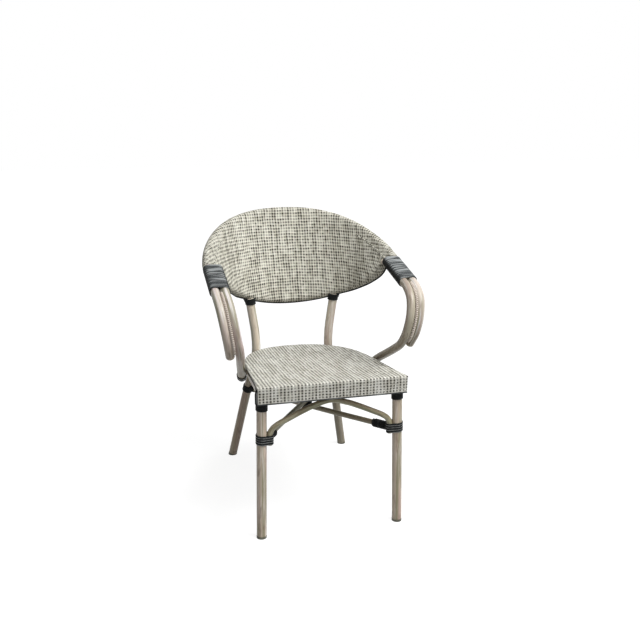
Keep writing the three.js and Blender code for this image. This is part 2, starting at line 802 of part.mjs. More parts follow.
// The lower rail turns down at its ends, so the panel faces there as it does one row on
coverSections[0].low.front = coverSections[1].low.front;
coverSections[coverSteps].low.front = coverSections[coverSteps - 1].low.front;

// Directions across a tube: upwards, backwards and forwards
function facing(line, across) {
  const up = across.clone().addScaledVector(line, -across.dot(line)).normalize();
  const back = line.clone().cross(up);
  return { up, back, front: back.clone().negate() };
}

// A ring round a tube, with one of its flats facing forwards
function sleeveRing({ centre, up, back }, radius) {
  const turn = Math.PI / sleeveSides;
  return polygon(clearing(radius, sleeveSides), sleeveSides).map((corner) => {
    const spoke = corner.rotateAround(new THREE.Vector2(), turn);
    return centre.clone().addScaledVector(back, -spoke.x).addScaledVector(up, spoke.y);
  });
}

// One layer of the panel: rows of points from the lower rail up to the hoop
function panelLayer(standOff) {
  return coverSections.map(({ high, low }) => {
    const start = low.centre.clone().addScaledVector(low.front, backRailRadius + standOff);
    const end = high.centre.clone().addScaledVector(high.front, armRadius + standOff);
    const row = [];
    for (let column = 0; column <= panelColumns; column += 1) {
      row.push(start.clone().lerp(end, column / panelColumns));
    }
    return row;
  });
}

function slab(front, rear) {
  const columns = front[0].length;
  const behind = front.length * columns;
  const index = [];
  const quad = (first, second, third, fourth) => {
    index.push(first, second, third, first, third, fourth);
  };
  for (let row = 0; row < front.length - 1; row += 1) {
    for (let column = 0; column < columns - 1; column += 1) {
      const a = row * columns + column;
      const corners = [a, a + 1, a + columns + 1, a + columns];
      if (row >= coverSteps * half) {
        corners.push(corners.shift());
      }
      const [first, second, third, fourth] = corners;
      quad(first, second, third, fourth);
      quad(behind + first, behind + fourth, behind + third, behind + second);
    }
    const [low, nextLow] = [row * columns, (row + 1) * columns];
    const [high, nextHigh] = [low + columns - 1, nextLow + columns - 1];
    quad(low, nextLow, behind + nextLow, behind + low);
    quad(nextHigh, high, behind + high, behind + nextHigh);
  }
  for (let column = 0; column < columns - 1; column += 1) {
    const last = behind - columns + column;
    quad(column + 1, column, behind + column, behind + column + 1);
    quad(last, last + 1, behind + last + 1, behind + last);
  }
  const points = [...front, ...rear].flat();
  return fromLists(points.flatMap((point) => [point.x, point.y, point.z]), index);
}

// A closed body along rows of rings, hollow where inner rings are given
function skin(rings, innerRings) {
  const count = rings[0].length;
  const last = (rings.length - 1) * count;
  const inside = rings.length * count;
  const index = [];
  for (let row = 0; row < rings.length - 1; row += 1) {
    for (let k = 0; k < count; k += 1) {
      const next = (k + 1) % count;
      const a = row * count;
      const b = a + count;
      const corners = [a + k, a + next, b + next, b + k];
      if (row >= coverSteps * half) {
        corners.push(corners.shift());
      }
      const [first, second, third, fourth] = corners;
      index.push(first, second, third, first, third, fourth);
      if (innerRings) {
        index.push(inside + first, inside + third, inside + second);
        index.push(inside + first, inside + fourth, inside + third);
      }
    }
  }
  for (let k = 0; k < count; k += 1) {
    const next = (k + 1) % count;
    const [here, there] = [last + k, last + next];
    if (innerRings) {
      index.push(k, inside + next, next, k, inside + k, inside + next);
      index.push(here, there, inside + there, here, inside + there, inside + here);
    } else if (k > 0 && next > 0) {
      index.push(0, next, k, last, here, there);
    }
  }
  const points = [...rings, ...(innerRings ?? [])].flat();
  return fromLists(points.flatMap((point) => [point.x, point.y, point.z]), index);
}

// Rings of a sleeve, or of the longer bar that cuts what meets it
function sleeveRings(end, tubeRadius, standOff, overrun = 0) {
  return coverSections.map((section, row) => {
    const loose = end === "low" ? section.flare : 0;
    const side = Math.sign(row - coverSteps * half) * (row % coverSteps === 0 ? 1 : 0);
    const line = section[end].up.clone().cross(section[end].back);
    return sleeveRing(section[end], tubeRadius + standOff + loose).map((point) => (
      point.addScaledVector(line, side * overrun)
    ));
  });
}

const sleeveEnds = Object.entries({ high: armRadius, low: backRailRadius });
const [sleeveHigh, sleeveLow] = sleeveEnds.map(([end, radius]) => (
  skin(sleeveRings(end, radius, clothRoom), sleeveRings(end, radius, clothSlack))
));
const sleeveBars = sleeveEnds.map(([end, radius]) => (
  skin(sleeveRings(end, radius, clothRoom + touchGap, 2 * touchGap))
));

const postLine = postTop.clone().sub(postRise[1]).normalize();
const postHoleEnd = postTop.clone().addScaledVector(postLine, 2 * touchGap);
const backRailBar = around(backRailCurve, backRailRadius + touchGap);
const postHole = around(new THREE.LineCurve3(postRise[1], postHoleEnd), rearLegRadius + 2 * touchGap);
const postHoles = [postHole, mirrored(postHole)];
const panelSolid = slab(panelLayer(clothRoom), panelLayer(clothSlack));
const railEndLine = new THREE.LineCurve3(
  backRailEnd.clone().lerp(coverSections[0].low.centre, -railEndOverrunShare),
  coverSections[0].low.centre,
);
const railEndBar = around(railEndLine, backRailRadius + 2 * touchGap);
const panelCuts = [...sleeveBars, railEndBar, mirrored(railEndBar)];
add("back_cover", largest(cut(panelSolid, panelCuts)), cloth);
add("back_sleeve_top", sleeveHigh, cloth);
add("back_sleeve_bottom", cut(sleeveLow, postHoles), cloth);

// Piping along the lower edge of the back, in front of the posts
const sleeveRadius = clearing(backRailRadius + clothRoom, sleeveSides);
const pipingOff = sleeveRadius + 3 * touchGap + pipingDiameter * half;
const pipingTurn = THREE.MathUtils.degToRad(backPipingDegrees);
const pipingPoints = [];
for (let row = pipingStartRow; row <= coverSteps + 2 - pipingStartRow; row += 1) {
  const share = row / (coverSteps + 2);
  const point = backRailCurve.getPointAt(share);
  const line = backRailCurve.getTangentAt(share);
  const below = at(0, 0, -1).addScaledVector(line, line.z).normalize();
  const front = line.clone().cross(below).normalize();
  const spoke = below.multiplyScalar(Math.cos(pipingTurn)).addScaledVector(front, Math.sin(pipingTurn));
  pipingPoints.push(point.addScaledVector(spoke, pipingOff));
}
const pipingCurve = smooth(pipingPoints, coverSteps);
add("back_piping", tube(pipingCurve, pipingDiameter, 0, cordSides), piping);

const pipingBar = around(pipingCurve, pipingDiameter * half + touchGap);
addPair("rear_leg", cut(tube(rearLegCurve, rearLegDiameter, frameWall), [backRailBar, pipingBar]), paint);

// Collars of cord round the tops of the front legs, the posts and the rear legs
const frontCollarHigh = onFrontLeg(frontRailLow);
const frontCollarLow = onFrontLeg(frontRailLow - frontCollarHeight);
const frontCollar = sleeve(frontCollarLow, frontCollarHigh, frontLegRadius + touchGap, collarThickness);
addPair("front_collar", cut(frontCollar, [frontRailBar]), cord);

const rearCollarMiddle = shareWhere(rearLegCurve, (point) => point.z >= braceRearHeight);
const rearCollarCentre = rearLegCurve.getPointAt(rearCollarMiddle);
const rearCollarLine = rearLegCurve.getTangentAt(rearCollarMiddle);
const rearCollarLow = rearCollarCentre.clone().addScaledVector(rearCollarLine, -rearCollarHeight * half);
const rearCollarHigh = rearCollarCentre.clone().addScaledVector(rearCollarLine, rearCollarHeight * half);
const rearCollarBore = rearLegRadius + 2 * touchGap;
addPair("rear_collar", sleeve(rearCollarLow, rearCollarHigh, rearCollarBore, collarThickness), cord);

const collarRadius = clearing(rearLegRadius + touchGap, tubeSides) + collarThickness;
const collarFoot = railOverPost.clone().addScaledVector(postLine, -postCollarHeight - backRailRadius);
collarFoot.y += postSetBack;
const postCollarProfile = [
  [0, 0], [collarRadius, 0],
  [collarRadius + postCollarFlare, postCollarHeight + backRailRadius],
  [0, postCollarHeight + backRailRadius],
];
const coverBar = around(backRailCurve, sleeveRadius + touchGap);
const collarCrop = block(0, seatWidth, 0, 2 * seatDepth, postTop.z - collarThickness, 2 * seatHeight);
const rearLegBar = around(rearLegCurve, rearLegRadius + touchGap);
const postCollarSolid = turned(postCollarProfile, collarFoot, postLine);
addPair("post_collar", cut(postCollarSolid, [coverBar, collarCrop, pipingBar, rearLegBar, postHole]), cord);

// Arch between the front legs
const braceRadius = braceDiameter * half;
const archOff = frontLegRadius + braceRadius + 2 * touchGap;

function archFootAt(height) {
  const point = onFrontLeg(height);
  point.x -= archOff;
  return point;
}

const archFoot = archFootAt(archFootHeight);
const archBend = archFootAt(archBendHeight);
const archRise = archShares.map(([across, up]) => at(
  across * archBend.x,
  archBend.y,
  THREE.MathUtils.lerp(archBend.z, archCrestHeight, up),
));
const archHalf = [archFoot, archFoot.clone().lerp(archBend, half), archBend, ...archRise];
const archCurve = smooth(bothSides(archHalf, at(0, archBend.y, archCrestHeight)), archSteps);
add("front_arch", tube(archCurve, braceDiameter, braceWall, smallSides), paint);

// Crossed braces from each front leg to the opposite rear leg, one over the other
const braceFrontOnLeg = onFrontLeg(braceFrontHeight);
const braceRearOnLeg = mirrorPoint(rearCollarCentre);
const braceLine = braceRearOnLeg.clone().sub(braceFrontOnLeg).normalize();
const bindingReach = clearing(frontLegRadius + touchGap, loopSteps) + cordThickness;
const collarReach = clearing(rearLegRadius + 2 * touchGap, tubeSides) + collarThickness;
const braceStart = braceFrontOnLeg.clone().addScaledVector(braceLine, bindingReach + braceFrontOff);
const braceEnd = braceRearOnLeg;
const crossShare = braceStart.x / (braceStart.x - braceEnd.x);

function bracePath(side) {
  const crossing = braceStart.clone().lerp(braceEnd, crossShare);
  crossing.z += side * (braceRadius / Math.cos(Math.PI / tubeSides) + touchGap * half);
  return smooth([braceStart, crossing, braceEnd], braceSteps);
}

const rearCollarBar = around(rearLegCurve, collarReach + touchGap);
const rearCollarBars = [rearCollarBar, mirrored(rearCollarBar)];
const braceCurves = { brace_right: bracePath(-1), brace_left: mirroredCurve(bracePath(1)) };
for (const [name, curve] of Object.entries(braceCurves)) {
  add(name, cut(tube(curve, braceDiameter, braceWall, smallSides), rearCollarBars), paint);
}

// Lashing where the braces cross
const crossing = braceStart.clone().lerp(braceEnd, crossShare);
const lashingHalf = braceDiameter + lashingOverlap;
const lashingLine = new THREE.LineCurve3(
  at(0, crossing.y, crossing.z - lashingHalf),
  at(0, crossing.y, crossing.z + lashingHalf),
);
const braceBars = Object.values(braceCurves).map((curve) => around(curve, braceRadius + touchGap));
add("brace_lashing", cut(tube(lashingLine, lashingDiameter, 0), braceBars), cord);

// Wound cord: one unbroken tube round one bar, or round two that lie side by side. The
// second bar lies at spacing along the loop's own X.
function loopPoint(step, steps, first, second, spacing) {
  const part = step % steps;
  const perBar = spacing === 0 ? steps : steps * half;
  const onSecond = spacing !== 0 && part < perBar;
  const sweep = spacing === 0 ? 0 : Math.acos((first - second) / spacing);
  const open = spacing === 0 ? 0 : 1;
  const place = (part % perBar) / (perBar - open);
  const angle = onSecond
    ? THREE.MathUtils.lerp(-sweep, sweep, place)
    : THREE.MathUtils.lerp(sweep, 2 * Math.PI - sweep, place);
  const out = at(Math.cos(angle), Math.sin(angle), 0);
  const centre = out.clone().multiplyScalar(onSecond ? second : first);
  centre.x += onSecond ? spacing : 0;
  return { centre, out };
}

function straightEnd(end, before, length) {
  const line = end.centre.clone().sub(before.centre).setZ(0).normalize();
  return { centre: end.centre.clone().addScaledVector(line, length), out: end.out };
}

function winding(name, { width, turns, steps, firstRadius, secondRadius, spacing, frame }) {
  const pitch = width + cordGap;
  const lift = cordThickness * half * Math.cos(Math.PI / cordSides);
  const lean = spacing === 0 ? 0 : Math.asin((firstRadius - secondRadius) / spacing);
  const sweep = spacing === 0 ? (2 * Math.PI) / steps : (Math.PI + 2 * lean) / (steps * half - 1);
  const first = (firstRadius + touchGap) / Math.cos(sweep * half) + lift;
  const second = (secondRadius + touchGap) / Math.cos(sweep * half) + lift;
  const total = Math.round(turns * steps);
  const rings = [];
  for (let step = 0; step <= total; step += 1) {
    const spot = loopPoint(step, steps, first, second, spacing);
    spot.centre.z = (step / steps - turns * half) * pitch;
    rings.push(spot);
  }
  rings.unshift(straightEnd(rings[0], rings[1], width));
  rings.push(straightEnd(rings[total + 1], rings[total], width));
  const points = rings.map(({ centre, out }) => {
    const ring = [];
    for (let side = 0; side < cordSides; side += 1) {
      const angle = (2 * Math.PI * side) / cordSides;
      const spoke = out.clone().multiplyScalar(cordThickness * half * Math.cos(angle));
      spoke.z += width * half * Math.sin(angle);
      ring.push(centre.clone().add(spoke));
    }
    return ring;
  });
  console.log(`${name}: least gap to itself ${leastGap(points, steps).toFixed(2)} mm`);
  const positions = points.flat().flatMap((point) => [point.x, point.y, point.z]);
  const geometry = fromLists(positions, ringIndex(points.length));
  geometry.applyMatrix4(frame);
  return geometry;
}

function ringIndex(count) {
  const index = [];
  for (let ring = 0; ring < count - 1; ring += 1) {
    for (let side = 0; side < cordSides; side += 1) {
      const next = (side + 1) % cordSides;
      const a = ring * cordSides;
      const b = a + cordSides;
      index.push(a + side, b + side, b + next, a + side, b + next, a + next);
    }
  }
  const last = (count - 1) * cordSides;
  for (let side = 1; side < cordSides - 1; side += 1) {
    index.push(0, side, side + 1);
    index.push(last, last + side + 1, last + side);
  }
  return index;
}

function leastGap(points, steps) {
  let least = Infinity;
  for (let ring = 0; ring < points.length; ring += 1) {
    for (let other = ring + steps - 2; other < Math.min(ring + steps + 3, points.length); other += 1) {
      for (const here of points[ring]) {
        for (const there of points[other]) {
          least = Math.min(least, here.distanceTo(there));
        }
      }
    }
  }
  return least;
}

function frameOf(place, line, side) {
  const across = side.clone().addScaledVector(line, -side.dot(line)).normalize();
  const rise = line.clone().cross(across);
  return new THREE.Matrix4().makeBasis(across, rise, line).setPosition(place);
}

const armWrapTurns = Math.min(maxTurns, Math.floor(armWrapLength / (armCordWidth + cordGap)));
const armWrapGeometry = winding("arm_wrap", {
  width: armCordWidth,
  turns: armWrapTurns,
  steps: loopSteps,
  firstRadius: armRadius,
  secondRadius: armRadius,
  spacing: armTubeSpacing,
  frame: frameOf(wrapMiddle, armLine, alongX),
});
addPair("arm_wrap", armWrapGeometry, cord);

const legBindingGeometry = winding("leg_binding", {
  width: cordWidth,
  turns: legBindingTurns,
  steps: loopSteps,
  firstRadius: frontLegRadius,
  secondRadius: braceRadius,
  spacing: archOff,
  frame: frameOf(onFrontLeg(legBindingHeight), frontLegLine, alongX.clone().negate()),
});
addPair("leg_binding", legBindingGeometry, cord);

const braceWrapLength = braceWrapTurns * (cordWidth + cordGap);
for (const [name, curve] of Object.entries(braceCurves)) {
  const share = (braceWrapLength * half + cordWidth) / curve.getLength();
  const frame = frameOf(curve.getPointAt(share), curve.getTangentAt(share), alongZ);
  const wrapName = name.replace("brace", "brace_wrap");
  add(wrapName, winding(wrapName, {
    width: cordWidth,
    turns: braceWrapTurns,
    steps: braceLoopSteps,
    firstRadius: braceRadius,
    secondRadius: braceRadius,
    spacing: 0,
    frame,
  }), cord);
}

// The origin is under the middle of the whole chair
const reach = new THREE.Box3().setFromObject(chair);
chair.position.y = -(reach.min.y + reach.max.y) * half;
export default chair;
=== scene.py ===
import bmesh
import bpy
import math
from mathutils import Matrix, Vector


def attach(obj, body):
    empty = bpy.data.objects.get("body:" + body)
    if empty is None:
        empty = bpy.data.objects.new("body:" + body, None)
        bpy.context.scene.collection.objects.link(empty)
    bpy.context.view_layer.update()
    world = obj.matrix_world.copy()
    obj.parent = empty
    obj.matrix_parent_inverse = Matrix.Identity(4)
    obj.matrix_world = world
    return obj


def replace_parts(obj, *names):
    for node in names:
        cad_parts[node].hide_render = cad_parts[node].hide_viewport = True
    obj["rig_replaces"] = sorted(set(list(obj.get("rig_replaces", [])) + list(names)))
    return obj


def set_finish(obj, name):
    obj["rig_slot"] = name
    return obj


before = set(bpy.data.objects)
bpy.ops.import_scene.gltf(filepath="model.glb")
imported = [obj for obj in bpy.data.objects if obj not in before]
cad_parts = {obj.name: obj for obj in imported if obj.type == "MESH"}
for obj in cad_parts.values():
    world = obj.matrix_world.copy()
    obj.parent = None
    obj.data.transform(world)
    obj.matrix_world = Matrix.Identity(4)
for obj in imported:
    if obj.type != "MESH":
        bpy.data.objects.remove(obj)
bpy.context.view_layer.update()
scene = bpy.context.scene
scene.view_settings.view_transform = "Standard"
print("frame loaded")

# Routes below are written in millimetres as the chair is drawn, with y = 0 at the front feet
drawing = {"unit": 0.001, "setBack": -304.2}


def at(x, y, z):
    return Vector((x, y + drawing["setBack"], z)) * drawing["unit"]


def drawn(points):
    return [at(*point) for point in points]


def mm(length):
    return length * drawing["unit"]


# The camera, as the photograph sees the chair
photoView = {"azimuth": -13.793, "elevation": 17.85, "roll": -0.08, "lens": 42.93,
             "sensor": 36, "place": (-0.52704, -2.17257, 1.13796), "shift": (0.0200, 0.0599)}
turn = (Matrix.Rotation(math.radians(photoView["azimuth"]), 4, "Z")
        @ Matrix.Rotation(math.radians(90 - photoView["elevation"]), 4, "X")
        @ Matrix.Rotation(math.radians(photoView["roll"]), 4, "Z"))
bpy.ops.object.camera_add(location=photoView["place"], rotation=turn.to_euler())
camera = bpy.context.object
camera.data.lens = photoView["lens"]
camera.data.sensor_width = photoView["sensor"]
camera.data.shift_x, camera.data.shift_y = photoView["shift"]
scene.camera = camera
print("camera placed")


# Small helpers for curves and selections
def nothingSelected():
    if bpy.context.object and bpy.context.object.mode != "OBJECT":
        bpy.ops.object.mode_set(mode="OBJECT")
    bpy.ops.object.select_all(action="DESELECT")


def onlySelected(piece):
    nothingSelected()
    piece.select_set(True)
    bpy.context.view_layer.objects.active = piece


def mirrorPoint(point):
    return Vector((-point.x, point.y, point.z))


def bothSides(points, middle):
    return points + [middle] + [mirrorPoint(p) for p in reversed(points)]


def evenSteps(points, count):
    # The same line with its points at even distances
    reach = [0.0]
    for first, second in zip(points, points[1:]):
        reach.append(reach[-1] + (second - first).length)
    steps, k = [], 0
    for step in range(count + 1):
        goal = reach[-1] * step / count
        while k < len(points) - 2 and reach[k + 1] < goal:
            k += 1
        span = reach[k + 1] - reach[k]
        steps.append(points[k].lerp(points[k + 1], (goal - reach[k]) / span if span else 0))
    return steps


def lineLength(points):
    return sum((second - first).length for first, second in zip(points, points[1:]))


def smoothLine(points, spacing=mm(4), finest=24):
    # A smooth line through every point, drawn in finest steps from one to the next and then evened out
    ends = [points[0] * 2 - points[1]] + list(points) + [points[-1] * 2 - points[-2]]
    dense = []
    for p0, p1, p2, p3 in zip(ends, ends[1:], ends[2:], ends[3:]):
        t1 = (p1 - p0).length ** 0.5
        t2 = t1 + (p2 - p1).length ** 0.5
        t3 = t2 + (p3 - p2).length ** 0.5
        for step in range(finest):
            t = t1 + (t2 - t1) * step / finest
            a1 = p0 * ((t1 - t) / t1) + p1 * (t / t1)
            a2 = p1 * ((t2 - t) / (t2 - t1)) + p2 * ((t - t1) / (t2 - t1))
            a3 = p2 * ((t3 - t) / (t3 - t2)) + p3 * ((t - t2) / (t3 - t2))
            b1 = a1 * ((t2 - t) / t2) + a2 * (t / t2)
            b2 = a2 * ((t3 - t) / (t3 - t1)) + a3 * ((t - t1) / (t3 - t1))
            dense.append(b1 * ((t2 - t) / (t2 - t1)) + b2 * ((t - t1) / (t2 - t1)))
    dense.append(points[-1].copy())
    return evenSteps(dense, max(2, round(lineLength(dense) / spacing)))


def lineWays(points):
    # The direction of a line at each of its points
    last = len(points) - 1
    return [(points[min(k + 1, last)] - points[max(k - 1, 0)]).normalized() for k in range(last + 1)]


# Short ways to write shader nodes, all in the tree that is being filled
shading = {"tree": None}


def feed(made, inputs):
    # an input takes another node's output, or a plain value
    for name, value in inputs.items():
        if isinstance(value, bpy.types.NodeSocket):
            shading["tree"].links.new(value, made.inputs[name])
        else:
            made.inputs[name].default_value = value


def addNode(kind, inputs, **settings):
    made = shading["tree"].nodes.new(kind)
    for name, value in settings.items():
        setattr(made, name, value)
    feed(made, inputs)
    return made.outputs


def work(operation, *values, clamp=False):
    return addNode("ShaderNodeMath", dict(enumerate(values)), operation=operation, use_clamp=clamp)[0]


def times(first, second):
    return work("MULTIPLY", first, second)


def blendColour(share, first, second, blend="MIX"):
    return addNode("ShaderNodeMix", {0: share, 6: first, 7: second}, data_type="RGBA", blend_type=blend)[2]


def stretched(place, scale):
    return addNode("ShaderNodeMapping", {"Vector": place, "Scale": scale}, vector_type="POINT")[0]


def cloudy(place, scale=1.0, detail=2.0, roughness=0.5):
    inputs = {"Vector": place, "Scale": scale, "Detail": detail, "Roughness": roughness}
    return addNode("ShaderNodeTexNoise", inputs)["Fac"]


def between(value, low, high, toLow=0.0, toHigh=1.0, kind="SMOOTHSTEP"):
    inputs = {"Value": value, "From Min": low, "From Max": high, "To Min": toLow, "To Max": toHigh}
    return addNode("ShaderNodeMapRange", inputs, interpolation_type=kind)["Result"]


def axesOf(vector):
    return addNode("ShaderNodeSeparateXYZ", {0: vector})


def flatPlace(x, y):
    return addNode("ShaderNodeCombineXYZ", {0: x, 1: y})[0]


def objectPlace():
    return addNode("ShaderNodeTexCoord", {})["Object"]


def readAttribute(name, output="Vector"):
    return addNode("ShaderNodeAttribute", {}, attribute_name=name, attribute_type="GEOMETRY")[output]


def newGroup(name, numbers, *results):
    # a group takes a place and some numbers, and gives numbers back
    group = shading["tree"] = bpy.data.node_groups.new(name, "ShaderNodeTree")
    group.interface.new_socket("Place", in_out="INPUT", socket_type="NodeSocketVector")
    for label, value in numbers.items():
        group.interface.new_socket(label, in_out="INPUT", socket_type="NodeSocketFloat").default_value = value
    for label in results:
        group.interface.new_socket(label, in_out="OUTPUT", socket_type="NodeSocketFloat")
    return group, addNode("NodeGroupInput", {}), group.nodes.new("NodeGroupOutput")


def useGroup(group, **values):
    return addNode("ShaderNodeGroup", values, node_tree=group)


def newFinish(name):
    finish = bpy.data.materials.new(name)
    finish.use_nodes = True
    shading["tree"] = finish.node_tree
    return finish, finish.node_tree.nodes["Principled BSDF"]


def setSurface(shader, colour, roughness, gloss, height, bumpDepth):
    # what every finish sets: the gloss is the same all over, so it goes straight on the shader
    bump = addNode("ShaderNodeBump", {"Strength": 1.0, "Distance": bumpDepth, "Height": height})["Normal"]
    feed(shader, {"Base Color": colour, "Roughness": roughness, "Specular IOR Level": gloss, "Normal": bump})


# Fine grain: a slow and a quick unevenness that every finish has a little of
grainLook = {"slowSize": 0.06, "slowDetail": 3.0, "slowSpread": (0.3, 0.7), "quickDetail": (4.0, 0.6),
             "quickSpread": (0.25, 0.75)}
grainGroup, got, put = newGroup("fineGrain", {"Size": 400.0}, "Slow", "Quick")
slowNoise = cloudy(got["Place"], times(got["Size"], grainLook["slowSize"]), grainLook["slowDetail"])
quickNoise = cloudy(got["Place"], got["Size"], *grainLook["quickDetail"])
feed(put, {"Slow": between(slowNoise, *grainLook["slowSpread"]),
           "Quick": between(quickNoise, *grainLook["quickSpread"])})

# Plain weave: light and dark threads over and under each other, each fading along its length
weaveLook = {"wanderSize": 22.0, "wander": 0.5, "numberStep": 7.31, "fade": (0.36, 0.64), "darkEdge": 0.1,
             "darkEnd": 0.90, "lightMiddle": 0.22, "light": (0.32, 0.22), "leastHidden": 0.7, "dip": 0.4,
             "uneven": (0.64, 1.22), "fadeNoise": (1.0, 2.0, 0.6), "fadeSpread": (0.1, 0.9)}
threadLooks = {"Column": {"seed": 3.7, "drift": 0.07, "faintest": 0.45},
               "Row": {"seed": 41.3, "drift": 0.34, "faintest": 0.66}}
weaveGroup, got, put = newGroup("plainWeave", {
    "Column": 0.009, "Row": 0.009, "Column Over": 0.5, "Row Over": 0.5, "Column Dark": 0.8, "Row Dark": 0.8,
    "Crossing": 0.3, "Dark Start": 0.4}, "Dark", "Height", "Thread")


def weaveThread(run, other, look):
    number, part, half = work("FLOOR", run), work("FRACT", run), times(run, 2.0)
    # how far this thread has faded at this place
    spot = flatPlace(work("ADD", times(number, weaveLook["numberStep"]), look["seed"]), times(other, look["drift"]))
    fade = between(cloudy(spot, *weaveLook["fadeNoise"]), *weaveLook["fade"])
    darkFull = work("ADD", got["Dark Start"], weaveLook["darkEdge"])
    dark = times(between(part, got["Dark Start"], darkFull), between(part, 1.0, weaveLook["darkEnd"]))
    offMiddle = work("ABSOLUTE", work("SUBTRACT", part, weaveLook["lightMiddle"]))
    return {"number": number, "fade": fade, "dark": dark, "light": between(offMiddle, *weaveLook["light"]),
            "half": work("FLOOR", half), "crown": work("SINE", times(work("FRACT", half), math.pi))}


def darkShare(thread, other, name, otherName):
    # dark threads, less so where the other way's light threads cross over them
    fade = between(thread["fade"], *weaveLook["fadeSpread"], threadLooks[name]["faintest"], 1.0)
    strength = times(fade, got[name + " Dark"])
    hidden = times(times(other["light"], got[otherName + " Over"]),
                   between(other["fade"], 0.0, 1.0, 1.0, weaveLook["leastHidden"], "LINEAR"))
    return times(times(thread["dark"], strength), work("SUBTRACT", 1.0, hidden))


def fillWeave():
    wave = work("SUBTRACT", cloudy(got["Place"], weaveLook["wanderSize"], 1.0), 0.5)
    wander, place = times(wave, weaveLook["wander"]), axesOf(got["Place"])
    across = work("ADD", work("DIVIDE", place[0], got["Column"]), wander)
    along = work("SUBTRACT", work("DIVIDE", place[1], got["Row"]), wander)
    column = weaveThread(across, along, threadLooks["Column"])
    row = weaveThread(along, across, threadLooks["Row"])
    darker = work("MAXIMUM", darkShare(column, row, "Column", "Row"), darkShare(row, column, "Row", "Column"))
    crossing = times(times(column["dark"], row["dark"]), got["Crossing"])
    cell = addNode("ShaderNodeTexWhiteNoise", {"Vector": flatPlace(column["number"], row["number"])},
                   noise_dimensions="2D")["Value"]
    dark = times(work("ADD", darker, crossing), between(cell, 0, 1, *weaveLook["uneven"], "LINEAR"))
    # columns and rows take turns to lie on top
    onTop = work("MODULO", work("ABSOLUTE", work("ADD", column["half"], row["half"])), 2.0)
    crowns = [times(first["crown"], work("ADD", times(second["crown"], weaveLook["dip"]), 1 - weaveLook["dip"]))
              for first, second in ((column, row), (row, column))]
    height = addNode("ShaderNodeMix", {0: onTop, 2: crowns[0], 3: crowns[1]}, data_type="FLOAT")[0]
    feed(put, {"Dark": work("MINIMUM", dark, 1.0), "Height": height,
               "Thread": work("ADD", times(column["fade"], 0.5), times(row["fade"], 0.5))})


fillWeave()
print("shared shader groups built")

# Paint washed over the tubes: long bands of olive, beige and rose under fine streaks
paintLook = {"beige": (0.63, 0.535, 0.41, 1), "grain": 900.0, "grime": (0.16, 0.13, 0.10, 1), "mostGrime": 0.14,
             "streaks": (0.3, 0.7), "roughness": (0.3, 0.46), "gloss": 0.42, "bump": 0.00012, "bumpGrain": 0.4}
paintLayers = {
    "olive": {"colour": (0.33, 0.305, 0.195, 1), "scale": (62.0, 62.0, 3.2), "noise": (1.0, 0.5),
              "spread": (0.50, 0.62), "most": 1.0},
    "rose": {"colour": (0.55, 0.405, 0.34, 1), "scale": (47.0, 47.0, 4.1), "noise": (1.0, 0.5),
             "spread": (0.50, 0.66), "most": 0.8},
    "pale": {"colour": (0.86, 0.82, 0.74, 1), "scale": (230.0, 230.0, 9.0), "noise": (3.0, 0.6),
             "spread": (0.46, 0.70), "most": 0.75},
    "brown": {"colour": (0.22, 0.155, 0.11, 1), "scale": (90.0, 90.0, 22.0), "noise": (2.0, 0.5),
              "spread": (0.56, 0.74), "most": 0.6}}


def makePaint(name, high, low, level=(0.27, 0.46), onNode=False):
    # a CAD node has no tubePlace of its own, so its paint follows Object coordinates
    finish, shader = newFinish(name)
    place = objectPlace() if onNode else readAttribute("tubePlace")
    colour, noises = paintLook["beige"], {}
    for label, layer in paintLayers.items():
        noises[label] = cloudy(stretched(place, layer["scale"]), 1.0, *layer["noise"])
        share = between(noises[label], *layer["spread"], 0.0, layer["most"])
        colour = blendColour(share, colour, layer["colour"])
    grain = useGroup(grainGroup, Place=place, Size=paintLook["grain"])
    colour = blendColour(times(grain["Quick"], paintLook["mostGrime"]), colour, paintLook["grime"])
    # each tube has its own tint of the paint, with painted shade making the lower parts under the seat darker
    shade = blendColour(between(axesOf(objectPlace())[2], *level), (*low, 1), (*high, 1))
    setSurface(shader, blendColour(1.0, colour, shade, "MULTIPLY"),
               between(noises["pale"], *paintLook["streaks"], *paintLook["roughness"]), paintLook["gloss"],
               work("ADD", noises["pale"], times(grain["Quick"], paintLook["bumpGrain"])), paintLook["bump"])
    return finish


clothLook = {"light": (0.68, 0.665, 0.575, 1), "pale": (0.90, 0.895, 0.83, 1), "dark": (0.022, 0.018, 0.011, 1),
             "aged": (0.50, 0.475, 0.40, 1), "mostAged": 0.14, "ageSize": 260.0, "dust": (0.30, 0.27, 0.22, 1),
             "mostDust": 0.12, "dustSize": 1500.0, "roughness": (0.52, 0.74), "gloss": 0.3, "bump": 0.0006,
             "bumpDust": 0.12}


def makeCloth(name, weave, tone):
    finish, shader = newFinish(name)
    place = addNode("ShaderNodeUVMap", {}, uv_map="cut")["UV"]
    threads = useGroup(weaveGroup, Place=place, **weave)
    dust = useGroup(grainGroup, Place=place, Size=clothLook["dustSize"])["Quick"]
    age = useGroup(grainGroup, Place=place, Size=clothLook["ageSize"])["Slow"]
    colour = blendColour(threads["Thread"], clothLook["pale"], clothLook["light"])
    colour = blendColour(times(age, clothLook["mostAged"]), colour, clothLook["aged"])
    colour = blendColour(threads["Dark"], colour, clothLook["dark"])
    colour = blendColour(times(dust, clothLook["mostDust"]), colour, clothLook["dust"])
    setSurface(shader, blendColour(1.0, colour, (*tone, 1), "MULTIPLY"),
               between(dust, 0, 1, *clothLook["roughness"]), clothLook["gloss"],
               work("ADD", threads["Height"], times(dust, clothLook["bumpDust"])), clothLook["bump"])
    return finish
